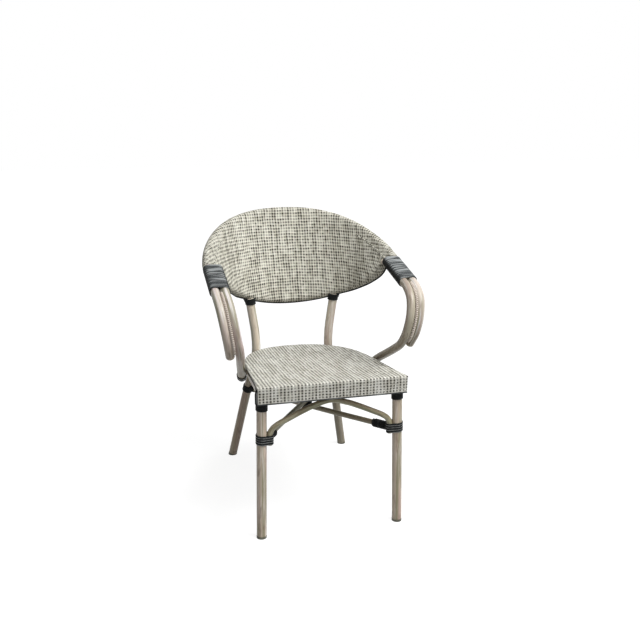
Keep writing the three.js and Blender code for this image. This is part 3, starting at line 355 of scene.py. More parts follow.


# Black cord: sheen and turn are painted sheen on the fibres and turns, and line is a painted highlight along a shoulder
cordLook = {"black": (0.012, 0.013, 0.013, 1), "sheen": (0.20, 0.215, 0.22, 1), "turn": (0.36, 0.38, 0.38, 1),
            "line": (0.74, 0.76, 0.75, 1), "fibres": (3.0, 3.0, 40.0), "fibreSpread": (0.4, 0.7),
            "turns": (0.3, 0.3, 0.11), "turnSpread": (0.47, 0.58), "topSheen": (0.5, 0.97, 0.03),
            "highlightInside": (0.46, 0.58), "highlightOutside": (0.86, 0.74), "highlightGaps": (1.0, 1.0, 0.5),
            "highlightSpread": (0.35, 0.5, 0.3), "grain": 60.0, "roughness": (0.34, 0.52), "bump": 0.0002}


def makeCord(name, sheenShare, gloss, edgeHighlight=0.0, sheenOnTop=False):
    finish, shader = newFinish(name)
    place = readAttribute("cordPlace")
    if sheenOnTop:
        # a painted sheen on its upper side, lighter where the light falls on it
        sheenShare = between(readAttribute("cordUp", "Fac"), *cordLook["topSheen"], sheenShare)
    fibres = cloudy(stretched(place, cordLook["fibres"]), 1.0, 3.0)
    fibreShare = times(between(fibres, *cordLook["fibreSpread"]), sheenShare)
    colour = blendColour(fibreShare, cordLook["black"], cordLook["sheen"])
    # some turns take more of the painted sheen than others
    turnShade = cloudy(stretched(place, cordLook["turns"]), 1.0, 1.0)
    colour = blendColour(between(turnShade, *cordLook["turnSpread"], 0.0, sheenShare), colour, cordLook["turn"])
    if edgeHighlight:
        # a painted highlight along one shoulder of a flat cord, broken by gaps
        across = axesOf(place)[0]
        rim = times(between(across, *cordLook["highlightInside"]), between(across, *cordLook["highlightOutside"]))
        gaps = cloudy(stretched(place, cordLook["highlightGaps"]))
        rim = times(rim, between(gaps, *cordLook["highlightSpread"], edgeHighlight))
        colour = blendColour(rim, colour, cordLook["line"])
    grain = useGroup(grainGroup, Place=place, Size=cordLook["grain"])
    setSurface(shader, colour, between(grain["Quick"], 0, 1, *cordLook["roughness"]), gloss, fibres,
               cordLook["bump"])
    return finish


beadLook = {"back": (0.3, 0.95), "mostRose": 0.5, "deep": (0.535, 0.60), "mostDeepShade": 0.3, "grain": 50.0,
            "roughness": (0.4, 0.6), "gloss": 0.3, "bump": 0.0001}


def makeBead():
    # twisted strands, pale on their backs, with painted shade darkening the groove between them
    finish, shader = newFinish("twistedBead")
    place = readAttribute("cordPlace")
    grain = useGroup(grainGroup, Place=place, Size=beadLook["grain"])
    brown, pale, rose = (paintLayers[name]["colour"] for name in ("brown", "pale", "rose"))
    colour = blendColour(between(axesOf(place)[1], *beadLook["back"]), brown, pale)
    colour = blendColour(times(grain["Slow"], beadLook["mostRose"]), colour, rose)
    # painted shade: browner higher up, where the strands lie deep between the tubes
    deep = between(axesOf(objectPlace())[2], *beadLook["deep"], 0.0, beadLook["mostDeepShade"])
    setSurface(shader, blendColour(deep, colour, brown), between(grain["Quick"], 0, 1, *beadLook["roughness"]),
               beadLook["gloss"], grain["Quick"], beadLook["bump"])
    return finish


def makePlain(name, look):
    finish, shader = newFinish(name)
    grain = useGroup(grainGroup, Place=objectPlace(), Size=look["grain"])
    setSurface(shader, blendColour(grain["Slow"], (*look["dark"], 1), (*look["pale"], 1)),
               between(grain["Quick"], 0, 1, *look["roughness"]), look["gloss"], grain["Quick"], look["bump"])
    feed(shader, {"Metallic": look["metallic"]})
    return finish


# Each shade of the paint: its tint high up and low down, the darker low tints being painted shade under the seat, and
# the heights between which one turns into the other
paintShades = {
    "Plain": ((1.03, 1.01, 1.03), (1.03, 1.0, 1.0)), "Pale": ((1.0, 1.03, 1.15), (0.6, 0.54, 0.47), (0.42, 0.63)),
    "Inner": ((1.02, 1.04, 1.17), (0.6, 0.62, 0.54), (0.4, 0.6)),
    "Warm": ((0.68, 0.72, 0.72), (0.5, 0.52, 0.46), (0.42, 0.66)), "Olive": ((0.66, 0.7, 0.56), (0.58, 0.61, 0.5)),
    "Rear": ((1.12, 1.15, 1.2), (0.92, 0.9, 0.84)), "Deep": ((1.1, 1.14, 1.18), (0.52, 0.52, 0.48)),
    "Rail": ((0.8, 0.8, 0.78), (0.8, 0.8, 0.78))}
paints = {name: makePaint("washedPaint" + name, *shade, onNode=name == "Rail") for name, shade in paintShades.items()}
seatWeave = {"Column": 0.0095, "Row": 0.0078, "Column Dark": 0.92, "Row Dark": 0.62, "Column Over": 0.85,
             "Row Over": 0.65, "Crossing": 0.45, "Dark Start": 0.4}
seatCloth = makeCloth("seatWeave", seatWeave, (1, 1, 1))
backWeave = {"Column": 0.0089, "Row": 0.0097, "Column Dark": 1.0, "Row Dark": 0.95, "Column Over": 0.66,
             "Row Over": 0.56, "Crossing": 0.1, "Dark Start": 0.36}
# the back's cloth is a little darker than the seat's, as painted shade on the upright panel, and a little warmer
backCloth = makeCloth("backWeave", backWeave, (0.94, 0.93, 0.89))
beadFinish = makeBead()
armCord = makeCord("armCord", sheenShare=0.8, gloss=0.06, sheenOnTop=True)
legCord = makeCord("legCord", sheenShare=0.05, gloss=0.07, edgeHighlight=0.95)
darkCord = makeCord("darkCord", sheenShare=0.06, gloss=0.05)
pipingFinish = makeCord("clothPiping", sheenShare=0.4, gloss=0.15)
plasticFinish = makePlain("blackPlastic", {"dark": (0.006, 0.006, 0.006), "pale": (0.016, 0.016, 0.015), "grain": 900.0,
                                           "roughness": (0.38, 0.56), "metallic": 0.0, "gloss": 0.12, "bump": 0.00005})
glidePlastic = makePlain("glidePlastic", {"dark": (0.10, 0.10, 0.075), "pale": (0.19, 0.185, 0.14), "grain": 900.0,
                                          "roughness": (0.34, 0.5), "metallic": 0.0, "gloss": 0.4, "bump": 0.00005})
metalFinish = makePlain("zincPlate", {"dark": (0.42, 0.42, 0.41), "pale": (0.6, 0.6, 0.58), "grain": 700.0,
                                      "roughness": (0.28, 0.5), "metallic": 1.0, "gloss": 0.5, "bump": 0.00003})
print("finishes built")


def settle(piece, name, finish, slotName, *nodes):
    piece.name = name
    piece.data.name = name
    piece.data.materials.clear()
    piece.data.materials.append(finish)
    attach(piece, "root")
    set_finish(piece, slotName)
    if nodes:
        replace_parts(piece, *nodes)
    return piece


def linked(name, shape):
    made = bpy.data.objects.new(name, shape)
    scene.collection.objects.link(made)
    onlySelected(made)
    return made


def facesOutward(piece):
    onlySelected(piece)
    bpy.ops.object.mode_set(mode="EDIT")
    bpy.ops.mesh.select_all(action="SELECT")
    bpy.ops.mesh.normals_make_consistent(inside=False)
    bpy.ops.object.mode_set(mode="OBJECT")


def pickEdges(piece, test):
    # in edit mode, selects the edges whose ends pass the test
    bpy.ops.mesh.select_mode(type="EDGE")
    bpy.ops.mesh.select_all(action="DESELECT")
    shape = bmesh.from_edit_mesh(piece.data)
    for edge in shape.edges:
        edge.select_set(test(edge.verts[0].co, edge.verts[1].co))
    bmesh.update_edit_mesh(piece.data)


def notePlaces(piece, lift=0.0):
    # each point's place before the bend, which the paint's streaks follow
    note = piece.data.attributes.new("tubePlace", "FLOAT_VECTOR", "POINT")
    for vertex, value in zip(piece.data.vertices, note.data):
        value.vector = (vertex.co.x, vertex.co.y, vertex.co.z + lift)


# Bent tubes: a straight tube with its long edges divided, bent along its line
tubeShape = {"sides": 28, "step": mm(6), "rim": mm(1.2), "rimSteps": 3, "crease": math.radians(40),
             "streakStep": 3.37, "mirrorStep": 1.913}
streakStart = [0.0]


def bentTube(name, line, diameter, finish, *nodes):
    nothingSelected()
    length = lineLength(line)
    bpy.ops.mesh.primitive_cylinder_add(vertices=tubeShape["sides"], radius=diameter / 2, depth=length,
                                        location=(0, 0, length / 2))
    tube = bpy.context.object
    bpy.ops.object.transform_apply(location=True)
    bpy.ops.object.mode_set(mode="EDIT")
    pickEdges(tube, lambda a, b: abs(a.z - b.z) < 1e-7)
    bpy.ops.mesh.bevel(offset=tubeShape["rim"], segments=tubeShape["rimSteps"], affect="EDGES")
    cuts = max(2, math.ceil(math.sqrt(length / tubeShape["step"]))) - 1
    for _ in range(2):
        pickEdges(tube, lambda a, b: abs(a.z - b.z) > 2 * tubeShape["rim"])
        bpy.ops.mesh.subdivide(number_cuts=cuts)
    bpy.ops.object.mode_set(mode="OBJECT")
    streakStart[0] += tubeShape["streakStep"]
    notePlaces(tube, streakStart[0])
    path = bpy.data.curves.new("bend", "CURVE")
    path.dimensions = "3D"
    path.twist_mode = "MINIMUM"
    run = path.splines.new("POLY")
    run.points.add(len(line) - 1)
    for point, place in zip(run.points, line):
        point.co = (*place, 1)
    guide = linked("bend", path)
    onlySelected(tube)
    bend = tube.modifiers.new("bend", "CURVE")
    bend.object = guide
    bend.deform_axis = "POS_Z"
    bpy.ops.object.modifier_apply(modifier="bend")
    bpy.data.objects.remove(guide)
    bpy.ops.object.shade_smooth_by_angle(angle=tubeShape["crease"])
    return settle(tube, name, finish, "bamboo_paint", *nodes)


def mirrorCopy(piece, name, *nodes):
    onlySelected(piece)
    bpy.ops.object.duplicate()
    copy = bpy.context.object
    copy.parent = None
    bpy.ops.object.mode_set(mode="EDIT")
    bpy.ops.mesh.select_all(action="SELECT")
    bpy.ops.transform.resize(value=(-1, 1, 1), center_override=(0, 0, 0))
    facesOutward(copy)
    for label in ("tubePlace", "cordPlace"):
        note = copy.data.attributes.get(label)
        if note:
            for value in note.data:
                value.vector.z += tubeShape["mirrorStep"]
    copy["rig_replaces"] = []
    return settle(copy, name, piece.data.materials[0], piece["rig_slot"], *nodes)


tubeSizes = {"leg": mm(28), "arm": mm(25), "rail": mm(22), "brace": mm(16)}
frontLegLine = [at(200.86, 0.14, 6), at(191.3, 9.7, 424)]
armLine = smoothLine(drawn([
    (198.1, 305.3, 376.6), (205.1, 264.9, 403.5), (212.0, 224.8, 430.3), (219.5, 178.5, 457.2), (225.3, 138.8, 480.6),
    (231.8, 100.7, 506.9), (236.4, 82.0, 533.0), (239.3, 77.8, 545.8), (247.8, 74.0, 595.5), (254.8, 95.0, 641.1),
    (258.5, 144.5, 667.4), (258.5, 164.0, 672.0), (258.5, 240.4, 690.2), (258.5, 316.7, 708.4)]))
hoopRight = drawn([
    (259.3, 100.7, 506.9), (266.8, 77.8, 545.8), (275.3, 74.0, 595.5), (282.3, 95.0, 641.1), (286.0, 144.5, 667.4),
    (286.0, 164.0, 672.0), (286.0, 240.4, 690.2), (286.0, 316.7, 708.4), (286.0, 336.2, 713.0), (277.4, 392.5, 735.0),
    (260.3, 448.9, 755.7), (236.8, 496.8, 775.4), (204.2, 540.5, 793.9), (163.0, 578.5, 808.9), (114.4, 603.3, 819.8),
    (60.9, 615.2, 826.5)])
hoopLine = smoothLine(bothSides(hoopRight, at(0, 618, 828.5)))
railRight = drawn([
    (258.5, 328.4, 704.2), (247.9, 338.5, 673.8), (225.9, 367.7, 645.5), (204.2, 402.5, 624.1), (186.1, 439.3, 606.7),
    (155.1, 469.5, 591.8), (111.2, 497.7, 574.6), (59.5, 520.9, 561.2)])
backRailLine = smoothLine(bothSides(railRight, at(0, 530, 556)))
rearLegLine = smoothLine(drawn([
    (196.9, 567.7, 6.0), (172.0, 538.6, 137.3), (150.6, 512.5, 250.4), (129.3, 490.8, 343.3), (121.6, 482.1, 403.9),
    (123.5, 482.2, 459.7), (128.6, 482.3, 499.8), (139.6, 482.5, 575)]))
seatRailRight = drawn([
    (196.2, -4.3, 434.1), (194.6, 36.8, 430.0), (191.3, 99.7, 423.7), (188.0, 165.2, 417.1), (184.4, 229.7, 410.6),
    (179.6, 287.0, 404.8), (172.5, 333.7, 400.1), (161.5, 375.0, 396.0), (146.8, 409.2, 392.5), (128.6, 438.2, 389.6),
    (107.8, 461.8, 387.2), (84.7, 479.6, 385.5), (61.7, 491.1, 384.3), (33.5, 498.5, 383.6)])
seatRailLine = smoothLine(bothSides(seatRailRight, at(0, 500.6, 383.3)))
archRight = drawn([
    (172.0, 6.4, 277.0), (171.6, 6.8, 294.5), (171.0, 7.2, 309.5), (164.2, 7.2, 323.0), (150.5, 7.2, 333.6),
    (118.1, 7.2, 349.6), (77.0, 7.2, 368.7), (46.2, 7.2, 381.0)])
archLine = smoothLine(bothSides(archRight, at(0, 7.2, 392)))
braceRightLine = smoothLine([at(182.4, 24.2, 287.1), at(0, 292.2, 269.5), at(-148.1, 509.8, 262.1)])
braceLeftLine = smoothLine([at(-182.4, 24.2, 287.1), at(0, 292.2, 285.0), at(148.1, 509.8, 262.1)])

# the darker copies of the paint on the right rear leg, the right arm tube, the arch and the braces are painted shade;
# the arch and braces also take an olive tint
for name, node, line, size, right, left in (
        ("frontLeg", "front_leg", frontLegLine, "leg", "Plain", "Plain"),
        ("rearLeg", "rear_leg", rearLegLine, "leg", "Deep", "Rear"),
        ("armTube", "arm_tube", armLine, "arm", "Warm", "Inner")):
    tube = bentTube(name + "Right", line, tubeSizes[size], paints[right], node + "_right")
    mirrorCopy(tube, name + "Left", node + "_left").data.materials[0] = paints[left]
for name, node, line, size, shade in (
        ("backHoop", "back_hoop", hoopLine, "arm", "Pale"),
        ("backRail", "back_rail", backRailLine, "rail", "Plain"),
        ("seatRail", "seat_rail", seatRailLine, "rail", "Plain"),
        ("frontArch", "front_arch", archLine, "brace", "Olive"),
        ("braceRight", "brace_right", braceRightLine, "brace", "Olive"),
        ("braceLeft", "brace_left", braceLeftLine, "brace", "Olive")):
    bentTube(name, line, tubeSizes[size], paints[shade], node)
print("tubes bent")


# Cords swept along a line, with the flat of the section facing out
cordShape = {"crease": math.radians(50), "roundSides": 10, "flatSides": 12, "steps": 40, "squareness": 0.8}


def sweepCord(name, places, outs, section, finish, slotName, *nodes):
    count, last = len(section), len(places) - 1
    widest = max(abs(s) for s, _ in section)
    points, notes, ups = [], [], []
    travelled = 0.0
    for k, (place, way, out) in enumerate(zip(places, lineWays(places), outs)):
        out = (out - way * out.dot(way)).normalized()
        side = way.cross(out)
        travelled += (place - places[k - 1]).length if k else 0
        for s, h in section:
            points.append(place + side * s + out * h)
            notes.append((s / widest, h / widest, travelled * 100))
            ups.append(out.z)
    faces = [(a, b, b + count, a + count) for k in range(last)
             for a, b in ((k * count + j, k * count + (j + 1) % count) for j in range(count))]
    faces += [tuple(reversed(range(count))), tuple(range(last * count, (last + 1) * count))]
    mesh = bpy.data.meshes.new(name)
    mesh.from_pydata(points, [], faces)
    # place: the share across and up the cord, and the centimetres along it
    note = mesh.attributes.new("cordPlace", "FLOAT_VECTOR", "POINT")
    for value, place in zip(note.data, notes):
        value.vector = place
    note = mesh.attributes.new("cordUp", "FLOAT", "POINT")
    note.data.foreach_set("value", ups)
    cord = linked(name, mesh)
    facesOutward(cord)
    bpy.ops.object.shade_smooth_by_angle(angle=cordShape["crease"])
    return settle(cord, name, finish, slotName, *nodes)


def ovalSection(width, thickness, sides, squareness=1.0):
    section = []
    for k in range(sides):
        angle = 2 * math.pi * (k + 0.5) / sides
        c, s = math.cos(angle), math.sin(angle)
        section.append((math.copysign(abs(c) ** squareness, c) * width / 2,
                        math.copysign(abs(s) ** squareness, s) * thickness / 2))
    return section


def roundCord(name, line, up, diameter, finish, *nodes):
    section = ovalSection(diameter, diameter, cordShape["roundSides"])
    return sweepCord(name, line, [up] * len(line), section, finish, "piping_cloth", *nodes)


def loopRound(circles, steps, standOff, finest=720):
    # a taut loop round one or two circles, as even steps of place and outward direction
    places, outs = [], []
    for k in range(finest):
        angle = 2 * math.pi * k / finest
        out = Vector((math.cos(angle), math.sin(angle)))
        x, radius = max(circles, key=lambda c: c[0] * out.x + c[1])
        places.append(Vector((x, 0)) + out * (radius + standOff))
        outs.append(out)
    places.append(places[0])
    outs.append(outs[0])
    reach = [0.0]
    for first, second in zip(places, places[1:]):
        reach.append(reach[-1] + (second - first).length)
    loop, k = [], 0
    for step in range(steps):
        goal = reach[-1] * step / steps
        while reach[k + 1] < goal:
            k += 1
        share = (goal - reach[k]) / max(reach[k + 1] - reach[k], 1e-9)
        loop.append((places[k].lerp(places[k + 1], share), outs[k].lerp(outs[k + 1], share).normalized()))
    return loop


def wound(name, shape, start, way, side, finish, *nodes, flare=None):
    # a cord wound around one or two tubes, each given by its place along side and its radius, in millimetres
    shape, way = {**cordShape, **shape}, way.normalized()
    side = (side - way * side.dot(way)).normalized()
    other = way.cross(side)
    steps, thickness, pitch = shape["steps"], mm(shape["thickness"]), mm(shape["pitch"])
    loop = loopRound([(mm(x), mm(radius)) for x, radius in shape["around"]], steps, thickness / 2)
    places, outs = [], []
    for k in range(round(shape["turns"] * steps) + 1):
        place, out = loop[k % steps]
        out = side * out.x + other * out.y
        extra = flare(k / (shape["turns"] * steps)) if flare else 0
        places.append(start + way * (pitch * (k / steps + 0.5)) + side * place.x + other * place.y + out * extra)
        outs.append(out)
    section = ovalSection(mm(shape["width"]), thickness, shape["flatSides"], shape["squareness"])
    return sweepCord(name, places, outs, section, finish, "black_cord", *nodes)


def woundPair(name, node, *settings, **more):
    right = wound(name + "Right", *settings, node + "_right", **more)
    mirrorCopy(right, name + "Left", node + "_left")


def joined(first, *others):
    onlySelected(first)
    for other in others:
        other.select_set(True)
    bpy.ops.object.join()
    return first


across, forward, upward = Vector((1, 0, 0)), Vector((0, 1, 0)), Vector((0, 0, 1))
armWind = {"turns": 20, "thickness": 3.2, "steps": 56, "cover": 0.97, "around": [(0, 12.6), (27.5, 12.6)]}
wrapFront, wrapRear = at(258.5, 161.0, 671.3), at(258.5, 313.7, 707.7)
armWind["pitch"] = (wrapRear - wrapFront).length / mm(armWind["turns"] + 1)
armWind["width"] = armWind["pitch"] * armWind["cover"]
woundPair("armWrap", "arm_wrap", armWind, wrapFront, wrapRear - wrapFront, across, armCord)


def onFrontLeg(height):
    return at(201 - 10 * height / 432.7, 10 * height / 432.7, height)


legWay = (onFrontLeg(400) - onFrontLeg(0)).normalized()
bindingWind = {"turns": 4, "pitch": 6.9, "width": 6.6, "thickness": 2.4, "steps": 44,
               "around": [(0, 14.3), (22.6, 8.3)]}
woundPair("legBinding", "leg_binding", bindingWind, onFrontLeg(279.6), legWay, -across, legCord)
frontWind = {"turns": 10, "pitch": 4.3, "width": 4.7, "thickness": 2.6, "around": [(0, 14.1)]}
woundPair("frontCollar", "front_collar", frontWind, onFrontLeg(376.8), legWay, forward, darkCord)

# The rear collar goes on round the brace's end, as one piece
rearWind = {"turns": 4, "pitch": 5.2, "width": 5.8, "thickness": 2.6, "around": [(0, 14.3)]}
rearLow, rearHigh = at(150.9, 512.8, 249.7), at(145.3, 506.8, 274.4)
rearCollar = wound("rearCollarRight", rearWind, rearLow, rearHigh - rearLow, forward, darkCord, "rear_collar_right")
endWind = {"turns": 4, "pitch": 5.4, "width": 5.8, "thickness": 2.8, "steps": 28, "from": mm(9), "around": [(0, 8.1)]}
endWay = (braceLeftLine[-12] - braceLeftLine[-1]).normalized()
endStart = braceLeftLine[-1] + endWay * endWind["from"]
joined(rearCollar, wound("rearEndWrap", endWind, endStart, endWay, upward, darkCord))
mirrorCopy(rearCollar, "rearCollarLeft", "rear_collar_left")

postWind = {"turns": 4, "pitch": 5.0, "width": 5.6, "thickness": 2.6, "around": [(0, 14.3)], "flare": mm(6),
            "plain": 0.35, "curve": 1.2}
postLow, postHigh = at(135.2, 482.4, 552.6), at(138.9, 482.5, 575.0)
woundPair("postCollar", "post_collar", postWind, postLow, postHigh - postLow, forward, darkCord,
          flare=lambda share: postWind["flare"] * max(0, share - postWind["plain"]) ** postWind["curve"])
braceWind = {"turns": 8, "pitch": 6.4, "width": 6.4, "thickness": 4.8, "steps": 32, "squareness": 1.0, "from": mm(5),
             "around": [(0, 8.1)]}
braceWay = (braceRightLine[20] - braceRightLine[0]).normalized()
braceStart = braceRightLine[0] + braceWay * braceWind["from"]
woundPair("braceWrap", "brace_wrap", braceWind, braceStart, braceWay, upward, darkCord)
lashingWind = {"turns": 4, "pitch": 4.6, "width": 5, "thickness": 3, "around": [(0, 15.5)]}
wound("braceLashing", lashingWind, at(0, 292.2, 262), upward, forward, darkCord, "brace_lashing")
print("cords wound")

# Bead: two strands twisted together in the groove between the arm tubes
beadShape = {"strand": mm(4.8), "sides": 8, "twist": mm(11), "offset": mm(2.35), "step": mm(1.2)}
beadLine = smoothLine(drawn([
    (248.4, 84.6, 517.5), (250.8, 75.9, 529.5), (253.9, 68.4, 548.4), (258.0, 64.4, 573.9), (261.6, 65.8, 597.4),
    (265.1, 72.8, 621.2), (267.6, 83.1, 639.8), (269.2, 94.9, 652.3), (270.9, 116.2, 664.9), (272.3, 141.7, 675.2)]),
    beadShape["step"])


def strand(name, phase):
    places, outs, travelled = [], [], 0.0
    for k, (place, way) in enumerate(zip(beadLine, lineWays(beadLine))):
        travelled += (place - beadLine[k - 1]).length if k else 0
        side = (across - way * across.dot(way)).normalized()
        angle = phase + 2 * math.pi * travelled / beadShape["twist"]
        out = side * math.cos(angle) + way.cross(side) * math.sin(angle)
        places.append(place + out * beadShape["offset"])
        outs.append(out)
    section = ovalSection(beadShape["strand"], beadShape["strand"], beadShape["sides"])
    return sweepCord(name, places, outs, section, beadFinish, "bamboo_paint")


bead = joined(strand("armBeadRight", 0), strand("strandTwo", math.pi))
notePlaces(bead)
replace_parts(bead, "arm_bead_right")
mirrorCopy(bead, "armBeadLeft", "arm_bead_left")

# The back cloth hangs between matching places on the hoop and the rail
backShape = {"columns": 112, "rows": 14, "slack": 1.6, "cloth": mm(1.3), "lean": 1.05, "hoopFrom": 316.5,
             "railFrom": mm(7), "wrapped": 285, "turnStep": 15, "flapFrom": 300, "flap": (2.0, 6.05, 11), "tuck": 1.6}
hoopPart = evenSteps([p for p in hoopLine if p.y >= at(0, backShape["hoopFrom"], 0).y], backShape["columns"])
railEnds = (backRailLine[0], mirrorPoint(backRailLine[0]))
railPart = evenSteps([p for p in backRailLine if min((p - end).length for end in railEnds) > backShape["railFrom"]],
                     backShape["columns"])


def tubeAxes(part):
    # at each place on a tube, the way up the back's cloth and the way out of it
    axes = []
    for hoopPlace, railPlace, way in zip(hoopPart, railPart, lineWays(part)):
        rise = hoopPlace - railPlace
        up = (rise - way * rise.dot(way)).normalized()
        axes.append((up, up.cross(way)))
    return axes


# Piping along the lower edge of the back and under the apron
pipingShape = {"back": mm(4.0), "backDrop": mm(14.4), "backWay": (0, -0.2, -1), "backSteps": 160, "seat": mm(3.2),
               "seatSteps": 80}
backPipingLine, down = [], Vector(pipingShape["backWay"])
for place, way in zip(railPart, lineWays(railPart)):
    backPipingLine.append(place + (down - way * down.dot(way)).normalized() * pipingShape["backDrop"])
roundCord("backPiping", evenSteps(backPipingLine, pipingShape["backSteps"]), upward, pipingShape["back"], darkCord,
          "back_piping")
roundCord("seatPiping", evenSteps([at(208, -24.4, 406.6), at(-208, -24.4, 406.6)], pipingShape["seatSteps"]), upward,
          pipingShape["seat"], pipingFinish, "seat_piping")
# a dark cord in the groove between the seat cloth and its rail, standing in for the shade under the roll
grooveShape = {"out": mm(8.8), "up": mm(9.4), "size": mm(4.0), "sides": 10, "centre": at(0, 250, 440),
               "right": [(208.3, -14, 410), (208.3, -14, 426), (208.3, -13, 436), (208, -11, 441)],
               "left": [(-209.5, -11, 441), (-212, -15, 436), (-212.5, -17, 426), (-212.5, -17, 408)]}
grooveLine = []
for place, way in zip(seatRailLine[4:-4], lineWays(seatRailLine)[4:-4]):
    outward = Vector((way.y, -way.x, 0)).normalized()
    grooveLine.append(place + outward * grooveShape["out"] + upward * grooveShape["up"])
grooveLine = drawn(grooveShape["right"]) + grooveLine[2:-2:4] + drawn(grooveShape["left"])
grooveLine = smoothLine(grooveLine)
sweepCord("seatGapShade", grooveLine, [(place - grooveShape["centre"]).normalized() for place in grooveLine],
          ovalSection(grooveShape["size"], grooveShape["size"], grooveShape["sides"]), darkCord, "piping_cloth")
print("bead and piping laid")


# Cloth
def clothSheet(name, grid, cuts):
    # grid holds rows of points, and cuts the place of each on the flat cloth
    width = len(grid[0])
    points = [point for row in grid for point in row]
    places = [place for row in cuts for place in row]
    starts = [k * width + j for k in range(len(grid) - 1) for j in range(width - 1)]
    faces = [(a, a + 1, a + width + 1, a + width) for a in starts]
    mesh = bpy.data.meshes.new(name)
    mesh.from_pydata(points, [], faces)
    layer = mesh.uv_layers.new(name="cut")
    for loop in mesh.loops:
        layer.data[loop.index].uv = places[loop.vertex_index]
    return linked(name, mesh)


def clothBody(piece, thickness):
    # gives a sheet its thickness on the inner side and rounds it
    facesOutward(piece)
    wall = piece.modifiers.new("wall", "SOLIDIFY")
    wall.thickness = thickness
    wall.offset = -1
    bpy.ops.object.modifier_apply(modifier="wall")
    soften = piece.modifiers.new("soften", "SUBSURF")
    soften.levels = soften.render_levels = 1
    bpy.ops.object.modifier_apply(modifier="soften")
    bpy.ops.object.shade_smooth()


seatShape = {"height": 455, "fall": 54 / 537, "front": -26, "roll": 3.4, "deep": 7.4, "lip": 9, "sag": 5,
             "sagRim": 21.4, "rings": 16, "rims": (12.0, 7.5), "middle": 242.5, "frontColumns": 48,
             "corner": (0.96, -1.0), "rollSteps": 5, "apronRoll": 5.0, "apronFoot": 408.5, "apronRows": 10,
             "apronTaper": (208, 210), "hemRoll": 1.6, "hemTurn": (0.52, 1.05, 1.57), "hem": (3, 8, 10.4),
             "cloth": mm(1.3), "outlineStep": 8, "apronRollSteps": 6}
seatEdgeRight = [Vector(p) for p in [
    (210.0, -26.0), (204.5, 43.8), (200.8, 119.0), (196.6, 199.5), (191.3, 274.7), (183.1, 333.8), (168.0, 387.5),
    (144.9, 433.1), (113.4, 470.7), (76.6, 496.0), (37.8, 508.3)]]
seatOutline = smoothLine([Vector((p.x, p.y, 0)) for p in seatEdgeRight] + [Vector((0, 511, 0))]
                         + [Vector((-p.x, p.y, 0)) for p in reversed(seatEdgeRight)], seatShape["outlineStep"])


def seatTopAt(y):
    return seatShape["height"] - seatShape["fall"] * (y - seatShape["front"])


def arcRows(radius, steps):
    angles = [math.pi / 2 * (k + 1) / steps for k in range(steps)]
    return [(radius - radius * math.sin(a), radius - radius * math.cos(a)) for a in angles]


def makeSeat():
    # the outline runs from the front right corner round the rear, and the front edge closes it
    side = [(p.xy, Vector((w.y, -w.x))) for p, w in zip(seatOutline, lineWays(seatOutline))]
    half, count = side[0][0].x, seatShape["frontColumns"]
    corner, frontward = Vector(seatShape["corner"]), Vector((0, -1))
    side[0], side[-1] = (side[0][0], corner), (side[-1][0], Vector((-corner.x, corner.y)))
    columns = [(Vector((-half + 2 * half * k / count, seatShape["front"])), frontward) for k in range(1, count)]
    ring = side + columns
    middle, big = Vector((0, seatShape["middle"])), seatShape["apronRoll"]
    roll, deep, lip = seatShape["roll"], seatShape["deep"], seatShape["lip"]
    shape = bmesh.new()
    cutLayer = shape.loops.layers.uv.new("cut")
    cuts = {}

    def point(x, y, drop, cut):
        vert = shape.verts.new(at(x, y, seatTopAt(y) - drop))
        cuts[vert] = (mm(cut[0]), mm(cut[1]))
        return vert

    centre = point(*middle, seatShape["sag"], middle)
    # rings of the top from the middle out to where the roll begins
    rings = []
    for k in range(1, seatShape["rings"] + 1):
        share = k / seatShape["rings"]
        places = [middle.lerp(p - n * seatShape["sagRim"], share) for p, n in ring]
        rings.append([point(*place, seatShape["sag"] * (1 - share ** 3), place) for place in places])
    for inset in (*seatShape["rims"], big):
        rings.append([point(*(p - n * inset), 0, p - n * inset) for p, n in ring])
    total = len(ring)
    for j in range(total):
        shape.faces.new((centre, rings[0][j], rings[0][(j + 1) % total]))
    for inner, outer in zip(rings, rings[1:]):
        for j in range(total):
            k = (j + 1) % total
            shape.faces.new((inner[j], outer[j], outer[k], inner[k]))

    # sides: round the edge, under the panel and in to the lip
    def skirt(members, profile):
        strips = []
        for vert, (p, n) in members:
            strip = [vert]
            lastPlace, reach = (big, 0.0), -big
            for inset, drop in profile(p):
                reach += math.hypot(inset - lastPlace[0], drop - lastPlace[1])
                lastPlace = (inset, drop)
                strip.append(point(*(p - n * inset), drop, p + n * reach))
            strips.append(strip)
        for first, second in zip(strips, strips[1:]):
            for corners in zip(first, first[1:], second[1:], second):
                shape.faces.new(corners)

    def sideProfile(_):
        turn = arcRows(roll, seatShape["rollSteps"])
        under = [(inset, deep - drop) for inset, drop in reversed(turn)]
        return [(roll, 0.0)] + turn + under + [(roll, deep), (roll + lip / 2, deep), (roll + lip, deep)]

    def frontProfile(p):
        foot, hem, rows = seatTopAt(p.y) - seatShape["apronFoot"], seatShape["hemRoll"], seatShape["apronRows"]
        flat = [(0.0, big + (foot - hem - big) * k / rows) for k in range(1, rows + 1)]
        turn = [(hem - hem * math.cos(a), foot - hem + hem * math.sin(a)) for a in seatShape["hemTurn"]]
        under = [(hem + inset, foot) for inset in seatShape["hem"]]
        return arcRows(big, seatShape["apronRollSteps"]) + flat + turn + under

    rim, (footHalf, topHalf) = rings[-1], seatShape["apronTaper"]
    skirt(zip(rim, side), sideProfile)
    edge = [(Vector((p.x * footHalf / topHalf, p.y)), frontward) for p, _ in [side[-1], *columns, side[0]]]
    skirt(zip([rim[len(side) - 1], *rim[len(side):], rim[0]], edge), frontProfile)
    for face in shape.faces:
        for loop in face.loops:
            loop[cutLayer].uv = cuts[loop.vert]
    mesh = bpy.data.meshes.new("seatCover")
    shape.to_mesh(mesh)
    return linked("seatCover", mesh)


